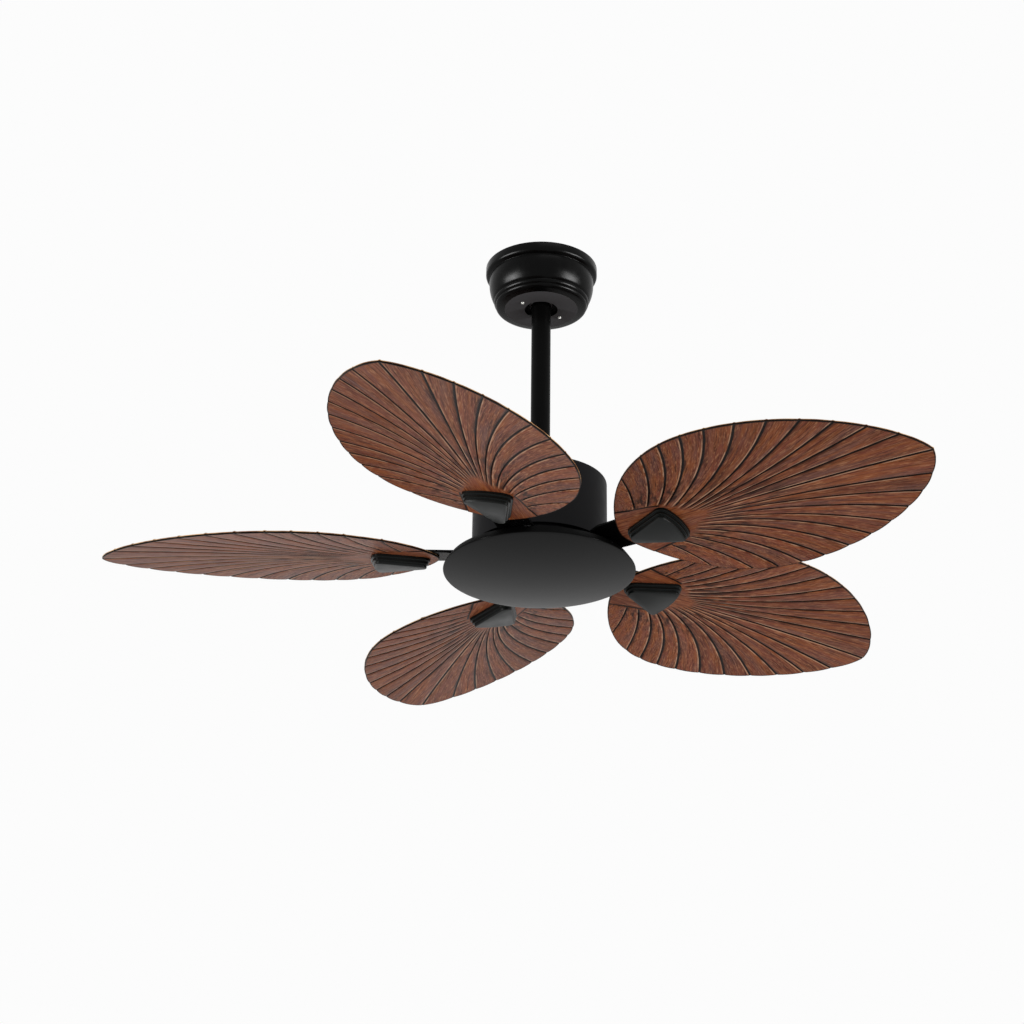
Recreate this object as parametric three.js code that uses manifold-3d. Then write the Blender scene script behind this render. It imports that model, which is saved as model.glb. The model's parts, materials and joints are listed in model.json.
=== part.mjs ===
// Ceiling fan with five palm-leaf blades on a short downrod.
// Millimetres, +Z up. The origin is the centre of the ceiling plane, so the fan hangs towards -Z.
// Heights are given as z: 0 at the ceiling and negative below it.

import * as THREE from 'three';
import { mergeVertices } from 'three/addons/utils/BufferGeometryUtils.js';
import Module from 'manifold-3d';

const wasm = await Module();
wasm.setup();

// ---------------------------------------------------------------- driving dimensions

const gap = 0.3;                      // clearance between pieces that touch
const steelSheet = 2;                 // bracket and cover plate stock
const shellSheet = 1.4;               // spun and drawn covers

// Leaf blades
const bladeCount = 5;
const firstBladeAzimuth = 36;         // degrees, counter-clockwise from +X seen from above
const bladeTipRadius = 533.4;         // 42 inch sweep
const bladeRootRadius = 121.6;
const bladeWidestRadius = 293.9;
const bladeHalfWidth = 137.4;
const bladePitch = 11.7;              // degrees
const bladeThickness = 3;
const bladeBowRadius = 4100;          // droop along the blade, outside the flat root
const bladeFlatRadius = 213;          // the root is flat up to here, for the iron and medallion
const bladeCrownRadius = 4450;        // droop across the blade
const pleatHeight = 2;                // ridge on top and groove below at each rib
const ribsPerSide = 12;
const tipRibGap = 45.6;               // along the edge, from the tip to the first rib
const ribPitch = 36.6;                // along the edge, between the ribs of the outer half
const closeRibPitch = 31;             // and between those that end near the widest place
const closeRibsFrom = 7;
const baseRibGap = 50.4;              // the two ribs nearest the root are further apart
const stemGrooveGap = 72.6;           // from there to the groove that sets off the stem
const ribBow = 0.05;                  // bulge of a rib, as a share of its length
const ribFanRadius = 266.7;           // the midrib starts here
const ribBaseRadius = 189;            // the last rib starts here, beside the medallion
const ribBaseOffset = 30;
const ribArchReach = 36;              // how flat the arch of the ribs' starts arrives there

// Blade irons and medallions
const ironThickness = 3;
const ironInnerRadius = 50;
const ironFlatRadius = 82;            // the iron is level up to here
const ironPitchedRadius = 102;        // and at the blade's pitch from here
const ironHubHalfWidth = 19;
const ironNeckHalfWidth = 25;
const ironPalmHalfWidth = 28;
const ironOuterRadius = 198;
const ironCornerRadius = 9;
const ironScrewRadii = [58, 69];      // the two screws into the rotor flange
const ironScrewHole = 2.4;
const bladeScrewHole = 2.4;
const medallionHeight = 11.8;
const medallionBaseHeight = 3.5;
const medallionHubX = 148;            // centre of the narrow end's round
const medallionHubRound = 7;
const medallionCornerX = 192;         // centre of a wide corner's round
const medallionCornerY = 21.5;
const medallionCornerRound = 5;
const medallionFaceEnd = 200;         // outer end of the flat face
const medallionRim = 3;               // the base stands out this far round the face
const medallionChamfer = 1.6;
const medallionPilotDepth = 6;
const medallionPilotHole = 2;

// Hanger ball, bracket and canopy
const canopyRadius = 71.2;
const canopyHeight = 59;
const canopyBandHeight = 12;
const canopyBandRound = 3;
const canopyStep = 4.2;               // the bulge stands in from the band by this
const canopyBulgeDrop = 24;           // from the ceiling to where the bulge turns in
const canopyBulgeRound = 20;
const canopyBulgeTurn = 50;           // degrees of that round
const canopyBeadRadius = 59.2;        // top of the bead below the bulge
const canopyBeadDrop = 43.4;
const canopyCoveDepth = 1.2;          // groove between bulge and bead
const canopyBottomRound = 2;
const canopyFlatRadius = 46;
const canopyHoleRadius = 21;
const canopyRimGap = 0.5;             // the rim stops just short of the ceiling
const canopyScrewCircle = 30;
const canopyScrewAzimuth = 38;        // degrees, also the bracket's long direction
const bracketPlateLength = 104;
const bracketPlateWidth = 44;
const bracketLegInside = 38;
const bracketLegHalfWidth = 11;
const bracketSaddleHalfWidth = 27;
const ceilingSlotWidth = 7;           // slots for the ceiling screws
const ceilingSlotLength = 14;
const bracketSaddleHole = 19;
const ballRadius = 24;
const ballCentreZ = -36;
const ballTopRise = 7;                // flat top above the ball's centre
const rodTopRise = 12;
const registerWidth = 4;              // upright tab on the saddle that keeps the ball from turning
const registerHeight = 5.5;
const registerSlotWidth = 13.5;       // wide enough for the ball to tilt past the tab
const registerDepth = 4;
const receiverLength = 70;
const receiverWidth = 36;
const receiverHeight = 13;

// Downrod, coupling and pins
const rodRadius = 12.25;
const rodWall = 2;
const rodLength = 294;
const pinRadius = 3;
const crossPinHalfLength = 20;
const pinHeadRadius = 4.4;
const pinHeadHeight = 1.5;
const pinShoulder = 16.7;             // the cross pin's head and clip sit outside this
const clipThickness = 0.8;
const couplingGrip = 32;              // length of rod inside the coupling
const couplingWall = 5;
const couplingBossHeight = 13;
const couplingFlangeRadius = 33;
const couplingFlangeHeight = 3;
const couplingStandout = 19;          // coupling above the motor housing
const clevisPinDrop = 10;             // below the coupling's top
const clevisPinHalfLength = 21;
const couplingCoverHeight = 26;
const couplingCoverRadius = 34;
const couplingCoverBand = 3;          // upright at its foot
const couplingCoverRound = 8;
const couplingCoverDish = 0.6;        // the top rises this much towards the rod
const setScrewRadius = 2;

// Motor, from the coupling down
const shaftRadius = 8;
const shaftBore = 4.5;
const nutAcrossCorners = 24;
const nutHeight = 6;
const bearingOuterRadius = 17.5;
const bearingHeight = 9;
const windingOverhang = 5;
const windingInnerRadius = 28;
const windingOuterRadius = 52;
const windingClearance = 3.3;         // bearing to winding
const statorRadius = 56;
const statorStack = 24;
const statorSlots = 9;
const slotRadius = 4;
const airGap = 0.8;
const magnetRingWall = 8;
const magnetRingMargin = 2;           // the ring is longer than the stack at both ends
const rotorWall = 3.5;
const rotorPlate = 3;
const bearingSeatWall = 4.5;
const rotorFlangeRadius = 77;
const rotorFlangeHeight = 5.5;
const lowerBearingRise = 4;           // bearing above the underside of the flange
const housingRadius = 82.5;
const housingHeight = 89;
const housingRound = 3.5;
const housingHoleRadius = 18;
const housingScrewCircle = 25;

// Bottom cover
const coverRadius = 117;
const coverRimHeight = 9.4;
const coverCrown = 7;
const coverRound = 3.5;
const coverPlateDrop = 11.8;          // plate below the rotor flange, clear of irons and screws
const coverPlateRim = 6.5;
const coverScrewCount = 3;
const firstCoverScrewAzimuth = 80;

const motorSides = 24;                // facets of the stator, the rotor and the air gap between them
const rodSides = 24;                  // facets of the downrod and of what it fits in

// ---------------------------------------------------------------- solids from geometry

const degrees = Math.PI / 180;

// A closed geometry as a solid. Triangles that collapse on the axis of a lathe are dropped.
function solidOf(geometry) {
  const bare = geometry.index ? geometry.toNonIndexed() : geometry.clone();
  bare.deleteAttribute('normal');
  bare.deleteAttribute('uv');
  const welded = mergeVertices(bare, 1e-4);
  const triangles = [];
  for (let i = 0; i < welded.index.count; i += 3) {
    const [a, b, c] = [0, 1, 2].map((k) => welded.index.getX(i + k));
    if (a !== b && b !== c && c !== a) triangles.push(a, b, c);
  }
  const mesh = new wasm.Mesh({
    numProp: 3,
    vertProperties: new Float32Array(welded.attributes.position.array),
    triVerts: new Uint32Array(triangles),
  });
  return new wasm.Manifold(mesh);
}

function geometryOf(solid) {
  const mesh = solid.getMesh();
  const geometry = new THREE.BufferGeometry();
  geometry.setAttribute('position', new THREE.BufferAttribute(mesh.vertProperties, 3));
  geometry.setIndex(new THREE.BufferAttribute(mesh.triVerts, 1));
  geometry.computeVertexNormals();
  return geometry;
}

// Upright cylinder between two heights. The radius may change from bottom to top.
function post(radius, bottom, top, sides = 20, topRadius = radius) {
  const geometry = new THREE.CylinderGeometry(topRadius, radius, top - bottom, sides);
  geometry.rotateX(90 * degrees);
  geometry.translate(0, 0, (top + bottom) / 2);
  return solidOf(geometry);
}

// Cylinder that lies along an axis: 'x' or 'y', from one place to the other along it.
function bar(axis, radius, from, to, sides = 10, toRadius = radius) {
  const lying = post(radius, from, to, sides, toRadius);
  return axis === 'x' ? lying.rotate([0, 90, 0]) : lying.rotate([-90, 0, 0]);
}

function block(x0, x1, y0, y1, z0, z1) {
  const geometry = new THREE.BoxGeometry(x1 - x0, y1 - y0, z1 - z0);
  geometry.translate((x0 + x1) / 2, (y0 + y1) / 2, (z0 + z1) / 2);
  return solidOf(geometry);
}

// Solid of revolution about Z from [radius, height] points. The profile closes on itself or on the axis.
function turned(profile, sides) {
  const points = profile.map(([radius, height]) => new THREE.Vector2(radius, height));
  const onAxis = points[0].x === 0 && points[points.length - 1].x === 0;
  if (!onAxis) points.push(points[0].clone());
  if (THREE.ShapeUtils.area(points) < 0) points.reverse();
  const geometry = new THREE.LatheGeometry(points, sides);
  geometry.rotateX(90 * degrees);
  return solidOf(geometry);
}

function tube(inner, outer, bottom, top, sides = 20) {
  return turned([[inner, bottom], [outer, bottom], [outer, top], [inner, top]], sides);
}

// Points of an arc in a profile, both ends included.
function arc(centreR, centreZ, radius, from, to, steps) {
  const points = [];
  for (let i = 0; i <= steps; i += 1) {
    const angle = (from + (to - from) * i / steps) * degrees;
    points.push([centreR + radius * Math.cos(angle), centreZ + radius * Math.sin(angle)]);
  }
  return points;
}

// Closed profile of a sheet cover: the outer points, then the same points moved in by the wall.
// The outer points run so that the inside lies on their left. The inside may skip points that its
// shape doesn't need: keep says which of them stay.
function sheetProfile(outer, wall, keep = () => true) {
  const inner = outer.map((point, i) => {
    const before = outer[Math.max(i - 1, 0)];
    const after = outer[Math.min(i + 1, outer.length - 1)];
    const along = new THREE.Vector2(after[0] - before[0], after[1] - before[1]).normalize();
    const onAxis = point[0] === 0;
    return [onAxis ? 0 : point[0] - along.y * wall, point[1] + (onAxis ? Math.sign(along.x) : along.x) * wall];
  });
  return [...outer, ...inner.filter((point, i) => keep(i)).reverse()];
}

// Pin along X with a flat head at its -X end; shoulder is the x of the head's inner face.
function headedPin(shoulder, tip) {
  return bar('x', pinRadius, shoulder - pinHeadHeight / 2, tip, 16)
    .add(bar('x', pinHeadRadius, shoulder - pinHeadHeight, shoulder, 16));
}

function hexNut(bottom, top, bore) {
  return post(nutAcrossCorners / 2, bottom, top, 6).subtract(post(bore, bottom - 1, top + 1, 20));
}

// Round-headed screw pointing up, head under z = 0, with a cross recess.
function panHeadScrew(shank, length, headRadius, headHeight) {
  const head = turned([
    [0, -headHeight],
    [headRadius * 0.6, -headHeight],
    [headRadius * 0.92, -headHeight * 0.6],
    [headRadius, 0],
    [0, 0],
  ], 10);
  const arm = headRadius * 0.62;
  const slot = headRadius * 0.14;
  const depth = headHeight * 0.6;
  const recess = block(-arm, arm, -slot, slot, -headHeight - 1, -headHeight + depth)
    .add(block(-slot, slot, -arm, arm, -headHeight - 1, -headHeight + depth));
  return head.add(post(shank, -0.1, length, 6)).subtract(recess);
}

// ---------------------------------------------------------------- materials

function finish(color, roughness, metalness) {
  return new THREE.MeshStandardMaterial({ color, roughness, metalness });
}

const glossBlack = finish(0x0b0b0c, 0.22, 0);
const satinBlack = finish(0x1d1d1f, 0.5, 0);
const mattBlack = finish(0x2a2b2c, 0.65, 0);
const walnut = finish(0x70462f, 0.6, 0);
const zincSteel = finish(0xb4b6b8, 0.35, 1);
const darkSteel = finish(0x3a3b3d, 0.45, 1);
const castAluminium = finish(0x9fa2a5, 0.5, 1);
const laminatedSteel = finish(0x5d6064, 0.55, 1);
const copperWire = finish(0x9c5a30, 0.4, 1);
const magnetBlack = finish(0x2f3032, 0.6, 0.2);
const whitePlastic = finish(0xe6e6e2, 0.5, 0);
const ballNylon = finish(0x101011, 0.35, 0);

// ---------------------------------------------------------------- scene graph

const fan = new THREE.Group();

function piece(name, solid, material, parent = fan) {
  const mesh = new THREE.Mesh(geometryOf(solid), material);
  mesh.name = name;
  parent.add(mesh);
  return mesh;
}

// ---------------------------------------------------------------- heights along the axis

const saddleTopZ = ballCentreZ - Math.sqrt((ballRadius + gap) ** 2 - bracketSaddleHole ** 2);
const saddleBottomZ = saddleTopZ - steelSheet;
const rodTopZ = ballCentreZ + rodTopRise;
const rodBottomZ = rodTopZ - rodLength;
const couplingTopZ = rodBottomZ + couplingGrip;
const couplingShoulderZ = rodBottomZ - gap;
const couplingBottomZ = couplingShoulderZ - couplingBossHeight;
const clevisPinZ = couplingTopZ - clevisPinDrop;
const housingTopZ = couplingTopZ - couplingStandout;
const couplingFlangeZ = housingTopZ - shellSheet - gap;
const shaftTopZ = couplingShoulderZ - 3;
const shaftNutZ = couplingBottomZ - gap;
const upperBearingTopZ = shaftNutZ - nutHeight - gap;
const upperBearingBottomZ = upperBearingTopZ - bearingHeight;
const windingTopZ = upperBearingBottomZ - windingClearance;
const stackTopZ = windingTopZ - windingOverhang;
const stackBottomZ = stackTopZ - statorStack;
const windingBottomZ = stackBottomZ - windingOverhang;
const lowerBearingTopZ = windingBottomZ - windingClearance;
const lowerBearingBottomZ = lowerBearingTopZ - bearingHeight;
const flangeBottomZ = lowerBearingBottomZ - gap - lowerBearingRise;
const flangeTopZ = flangeBottomZ + rotorFlangeHeight;
const bladeTopZ = flangeBottomZ - gap - ironThickness - gap;
const coverPlateTopZ = flangeBottomZ - coverPlateDrop;
const coverPlateBottomZ = coverPlateTopZ - steelSheet;
const coverNutTopZ = coverPlateBottomZ - gap;
const coverNutBottomZ = coverNutTopZ - nutHeight;
const shaftBottomZ = coverNutBottomZ - 1.5;
const coverRimTopZ = coverPlateTopZ;
const coverBottomZ = coverRimTopZ - coverRimHeight - coverCrown;

// ---------------------------------------------------------------- hanger bracket and canopy

// The bracket's long direction runs through the two canopy screws.
const bracketTurn = new THREE.Group();
bracketTurn.rotation.z = canopyScrewAzimuth * degrees;
fan.add(bracketTurn);

function buildBracket() {
  const legOutside = bracketLegInside + steelSheet;
  const halfLength = bracketPlateLength / 2;
  const halfWidth = bracketPlateWidth / 2;
  const plate = block(-halfLength, halfLength, -halfWidth, halfWidth, -steelSheet, 0);
  const legHalfWidth = bracketLegHalfWidth;
  const saddleBar = block(-legOutside, legOutside, -legHalfWidth, legHalfWidth, saddleBottomZ, saddleTopZ);
  const saddleRing = post(bracketSaddleHalfWidth, saddleBottomZ, saddleTopZ, 32);
  const saddleHole = post(bracketSaddleHole, saddleBottomZ - 1, saddleTopZ + 1, 32);
  const mouthHalfWidth = rodRadius + 1;
  const mouth = block(-mouthHalfWidth, mouthHalfWidth, -bracketSaddleHalfWidth - 1, 0,
    saddleBottomZ - 1, saddleTopZ + 1);
  const register = block(-registerWidth / 2, registerWidth / 2, bracketSaddleHole,
    bracketSaddleHole + steelSheet, saddleBottomZ, saddleTopZ + registerHeight);
  let solid = plate.add(saddleBar.add(saddleRing).subtract(saddleHole).subtract(mouth)).add(register);
  const shelfZ = -steelSheet - gap - receiverHeight - gap;
  const shelfReach = bracketLegInside - receiverLength / 2 + 2;
  for (const side of [-1, 1]) {
    const [nearX, farX] = side > 0 ? [bracketLegInside, legOutside] : [-legOutside, -bracketLegInside];
    const leg = block(nearX, farX, -legHalfWidth, legHalfWidth, saddleBottomZ, -steelSheet / 2);
    const shelfX = side * (bracketLegInside - shelfReach);
    const shelf = block(Math.min(shelfX, side * legOutside), Math.max(shelfX, side * legOutside),
      -legHalfWidth, legHalfWidth, shelfZ - steelSheet, shelfZ);
    const screwHole = post(setScrewRadius + gap, saddleBottomZ - 1, saddleTopZ + 1, 12)
      .translate([side * canopyScrewCircle, 0, 0]);
    const slotX = side * (legOutside + halfLength) / 2;
    const [slotHalf, slotReach] = [ceilingSlotWidth / 2, ceilingSlotLength / 2];
    const ceilingSlot = block(slotX - slotHalf, slotX + slotHalf, -slotReach, slotReach, -steelSheet - 1, 1);
    solid = solid.add(leg).add(shelf).subtract(screwHole).subtract(ceilingSlot);
  }
  piece('hanger_bracket', solid, zincSteel, bracketTurn);
}

function buildReceiver() {
  const cornerRound = 4;
  const [halfLength, halfWidth] = [receiverLength / 2 - cornerRound, receiverWidth / 2 - cornerRound];
  const outline = new THREE.Shape();
  outline.absarc(halfLength, halfWidth, cornerRound, 0, 90 * degrees);
  outline.absarc(-halfLength, halfWidth, cornerRound, 90 * degrees, 180 * degrees);
  outline.absarc(-halfLength, -halfWidth, cornerRound, 180 * degrees, 270 * degrees);
  outline.absarc(halfLength, -halfWidth, cornerRound, 270 * degrees, 360 * degrees);
  const geometry = new THREE.ExtrudeGeometry(outline, {
    depth: receiverHeight, bevelEnabled: false, curveSegments: 3,
  });
  geometry.translate(0, 0, -steelSheet - gap - receiverHeight);
  piece('receiver_box', solidOf(geometry), whitePlastic, bracketTurn);
}

// Outside of the canopy from the hole in its flat bottom up to the ceiling: a bead and a bulge below
// a plain band.
function canopyOutside() {
  const bottom = -canopyHeight;
  const shoulder = canopyRadius - canopyStep;
  const bandBottom = -canopyBandHeight;
  const bulge = arc(shoulder - canopyBulgeRound, -canopyBulgeDrop, canopyBulgeRound, -canopyBulgeTurn, 0, 3);
  const [bulgeEndR, bulgeEndZ] = bulge[0];
  const coveR = Math.min(bulgeEndR, canopyBeadRadius) - canopyCoveDepth;
  return [
    [canopyHoleRadius, bottom],
    [canopyFlatRadius, bottom],
    [canopyFlatRadius + canopyBottomRound, bottom + canopyBottomRound],
    [(canopyFlatRadius + canopyBottomRound + canopyBeadRadius) / 2 + 0.7, (bottom - canopyBeadDrop) / 2],
    [canopyBeadRadius, -canopyBeadDrop],
    [coveR, (bulgeEndZ - canopyBeadDrop) / 2],
    ...bulge,
    [shoulder, bandBottom - canopyStep],
    ...arc(canopyRadius - canopyBandRound, bandBottom, canopyBandRound, -75, 0, 1),
    [canopyRadius, -canopyRimGap],
  ];
}

function buildCanopy() {
  const outside = canopyOutside();
  const last = outside.length - 1;
  const inside = (i) => i < 2 || (i > 2 && i % 2 === 0) || i === last;
  let solid = turned(sheetProfile(outside, shellSheet, inside), 32);
  for (const turn of [0, 180]) {
    const hole = post(setScrewRadius + gap, -canopyHeight - 1, -canopyHeight + shellSheet + 1, 12)
      .translate([canopyScrewCircle, 0, 0]).rotate([0, 0, canopyScrewAzimuth + turn]);
    solid = solid.subtract(hole);
  }
  piece('canopy', solid, glossBlack);
  const screwLength = canopyHeight + saddleTopZ + 2;
  for (const [index, side] of [[1, 1], [2, -1]]) {
    const screw = panHeadScrew(setScrewRadius, screwLength, 4, 2.4)
      .translate([side * canopyScrewCircle, 0, -canopyHeight - gap]);
    piece(`canopy_screw_${index}`, screw, zincSteel, bracketTurn);
  }
}

// ---------------------------------------------------------------- hanger ball and cross pin

// The pin lies along X through the middle of the ball, in a slot that opens at the ball's flat top.
function buildHangerBall() {
  const sphere = new THREE.SphereGeometry(ballRadius, 20, 12);
  sphere.rotateX(90 * degrees);
  const core = new THREE.SphereGeometry(ballRadius - registerDepth, 12, 8);
  const half = registerSlotWidth / 2;
  const register = block(-half, half, 0, ballRadius + 1, -ballRadius - 1, 2)
    .subtract(solidOf(core)).rotate([0, 0, canopyScrewAzimuth]);
  const slotRadius = pinRadius + gap;
  const pocketRadius = pinHeadRadius + 3 * gap;
  const pocketStart = pinShoulder - gap;
  const slot = bar('x', slotRadius, -ballRadius - 1, ballRadius + 1)
    .add(block(-ballRadius - 1, ballRadius + 1, -slotRadius, slotRadius, 0, ballTopRise + 1));
  let solid = solidOf(sphere)
    .subtract(block(-ballRadius, ballRadius, -ballRadius, ballRadius, ballTopRise, ballRadius + 1))
    .subtract(post(rodRadius + gap, -ballRadius - 1, ballRadius + 1, rodSides))
    .subtract(register)
    .subtract(slot);
  for (const side of [-1, 1]) {
    const [from, to] = side > 0 ? [pocketStart, ballRadius + 1] : [-ballRadius - 1, -pocketStart];
    solid = solid.subtract(bar('x', pocketRadius, from, to, 16))
      .subtract(block(from, to, -pocketRadius, pocketRadius, 0, ballTopRise + 1));
  }
  const screwZ = -5;
  solid = solid.subtract(bar('y', setScrewRadius + gap, -ballRadius - 1, 0).translate([0, 0, screwZ]));
  piece('hanger_ball', solid.translate([0, 0, ballCentreZ]), ballNylon);
  const screw = bar('y', setScrewRadius, -ballRadius + 2.5, -rodRadius - gap)
    .translate([0, 0, ballCentreZ + screwZ]);
  piece('ball_set_screw', screw, darkSteel);
}

function buildCrossPin() {
  piece('cross_pin', headedPin(-pinShoulder, crossPinHalfLength).translate([0, 0, ballCentreZ]), zincSteel);
  const clip = bar('x', pinHeadRadius, pinShoulder, pinShoulder + clipThickness, 16)
    .subtract(bar('x', pinRadius + gap, pinShoulder - 1, pinShoulder + clipThickness + 1, 16))
    .translate([0, 0, ballCentreZ]);
  piece('cross_pin_clip', clip, darkSteel);
}

// ---------------------------------------------------------------- downrod and coupling

function buildDownrod() {
  const solid = tube(rodRadius - rodWall, rodRadius, rodBottomZ, rodTopZ, rodSides)
    .subtract(bar('x', pinRadius + gap, -rodRadius - 1, rodRadius + 1).translate([0, 0, ballCentreZ]))
    .subtract(bar('x', pinRadius + gap, -rodRadius - 1, rodRadius + 1).translate([0, 0, clevisPinZ]));
  piece('downrod', solid, satinBlack);
}

function buildCoupling() {
  const bore = rodRadius + gap;
  const outside = bore + couplingWall;
  const shaftHole = shaftRadius + gap;
  const flangeBottom = couplingFlangeZ - couplingFlangeHeight;
  let solid = turned([
    [shaftHole, couplingBottomZ],
    [outside, couplingBottomZ],
    [outside, flangeBottom],
    [couplingFlangeRadius, flangeBottom],
    [couplingFlangeRadius, couplingFlangeZ],
    [outside, couplingFlangeZ],
    [outside, couplingTopZ],
    [bore, couplingTopZ],
    [bore, couplingShoulderZ],
    [shaftHole, couplingShoulderZ],
  ], rodSides);
  solid = solid.subtract(bar('x', pinRadius + gap, -outside - 1, outside + 1).translate([0, 0, clevisPinZ]));
  const setScrewZ = clevisPinZ;
  solid = solid.subtract(bar('y', setScrewRadius + gap, -outside - 1, 0).translate([0, 0, setScrewZ]));
  for (let i = 0; i < 3; i += 1) {
    const hole = post(setScrewRadius, flangeBottom - 1, couplingFlangeZ + 1, 10)
      .translate([housingScrewCircle, 0, 0]).rotate([0, 0, 90 + 120 * i]);
    solid = solid.subtract(hole);
  }
  piece('motor_coupling', solid, castAluminium);
  const screw = bar('y', setScrewRadius, -outside - 3, -rodRadius - gap).translate([0, 0, setScrewZ]);
  piece('yoke_set_screw', screw, darkSteel);
}

// Clevis pin through coupling and rod, kept by a hairpin whose straight leg passes through the pin.
function buildClevisPin() {
  const wire = 0.9;
  const outside = rodRadius + gap + couplingWall;
  const legX = outside + gap + wire + gap;
  const pin = headedPin(-outside - gap, clevisPinHalfLength)
    .subtract(bar('y', wire + gap, -pinRadius - 1, pinRadius + 1, 8).translate([legX, 0, 0]))
    .translate([0, 0, clevisPinZ]);
  piece('clevis_pin', pin, zincSteel);
  const legReach = 7;
  const bendRadius = (pinRadius + gap + 2 * wire) / 2;
  const route = new THREE.CurvePath();
  route.add(new THREE.LineCurve3(new THREE.Vector3(0, legReach, 0), new THREE.Vector3(0, -legReach, 0)));
  route.add(new THREE.CubicBezierCurve3(
    new THREE.Vector3(0, -legReach, 0),
    new THREE.Vector3(0, -legReach - 2.4 * bendRadius, 0),
    new THREE.Vector3(0, -legReach - 2.4 * bendRadius, 2 * bendRadius),
    new THREE.Vector3(0, -legReach, 2 * bendRadius),
  ));
  route.add(new THREE.LineCurve3(
    new THREE.Vector3(0, -legReach, 2 * bendRadius),
    new THREE.Vector3(0, legReach, 2 * bendRadius),
  ));
  const section = new THREE.Shape();
  section.absarc(0, 0, wire, 0, 360 * degrees);
  const geometry = new THREE.ExtrudeGeometry(section, { steps: 18, curveSegments: 3, extrudePath: route });
  geometry.translate(legX, 0, clevisPinZ);
  piece('clevis_clip', solidOf(geometry), zincSteel);
}

function buildCouplingCover() {
  const bottom = housingTopZ + gap;
  const top = bottom + couplingCoverHeight;
  const neck = rodRadius + 2 * gap;
  const roundR = couplingCoverRadius - couplingCoverRound;
  const roundZ = top - couplingCoverDish - couplingCoverRound;
  const outer = [
    [couplingCoverRadius, bottom],
    [couplingCoverRadius, bottom + couplingCoverBand],
    ...arc(roundR, roundZ, couplingCoverRound, 0, 80, 3),
    [(roundR + neck) / 2, top - couplingCoverDish / 2],
    [neck, top],
  ];
  piece('coupling_cover', turned(sheetProfile(outer, shellSheet, (i) => i !== 3), rodSides), glossBlack);
}

// ---------------------------------------------------------------- motor

function buildShaft() {
  piece('motor_shaft', tube(shaftBore, shaftRadius, shaftBottomZ, shaftTopZ), darkSteel);
  piece('shaft_nut', hexNut(shaftNutZ - nutHeight, shaftNutZ, shaftRadius + gap), zincSteel);
  piece('upper_bearing', tube(shaftRadius + gap, bearingOuterRadius, upperBearingBottomZ, upperBearingTopZ),
    zincSteel);
  piece('lower_bearing', tube(shaftRadius + gap, bearingOuterRadius, lowerBearingBottomZ, lowerBearingTopZ),
    zincSteel);
  piece('lower_spacer', tube(shaftRadius + gap, shaftRadius + 4, coverPlateTopZ + gap,
    lowerBearingBottomZ - gap), darkSteel);
}

// Laminated core with round slots, and a winding that fills them between two end rings.
function buildStator() {
  const slotCircle = (windingInnerRadius + windingOuterRadius) / 2;
  let core = tube(shaftRadius + gap, statorRadius, stackBottomZ, stackTopZ, motorSides);
  let winding = tube(windingInnerRadius, windingOuterRadius, stackTopZ + gap, windingTopZ, 24)
    .add(tube(windingInnerRadius, windingOuterRadius, windingBottomZ, stackBottomZ - gap, 24));
  for (let i = 0; i < statorSlots; i += 1) {
    const turn = [0, 0, 360 * i / statorSlots];
    const slot = post(slotRadius, stackBottomZ - 1, stackTopZ + 1, 6).translate([slotCircle, 0, 0]);
    const coil = post(slotRadius - 2 * gap, stackBottomZ - 1, stackTopZ + 1, 6).translate([slotCircle, 0, 0]);
    core = core.subtract(slot.rotate(turn));
    winding = winding.add(coil.rotate(turn));
  }
  piece('stator_core', core, laminatedSteel);
  piece('stator_windings', winding, copperWire);
}

const magnetRingInner = statorRadius + airGap;
const magnetRingOuter = magnetRingInner + magnetRingWall;
const rotorSkirtInner = magnetRingOuter + gap;
const rotorSkirtOuter = rotorSkirtInner + rotorWall;
const rotorSplitZ = (stackTopZ + stackBottomZ) / 2;
const bearingSeat = bearingOuterRadius + gap;
const bearingSeatOuter = bearingSeat + bearingSeatWall;
const bearingLip = bearingOuterRadius - 4;

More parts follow.
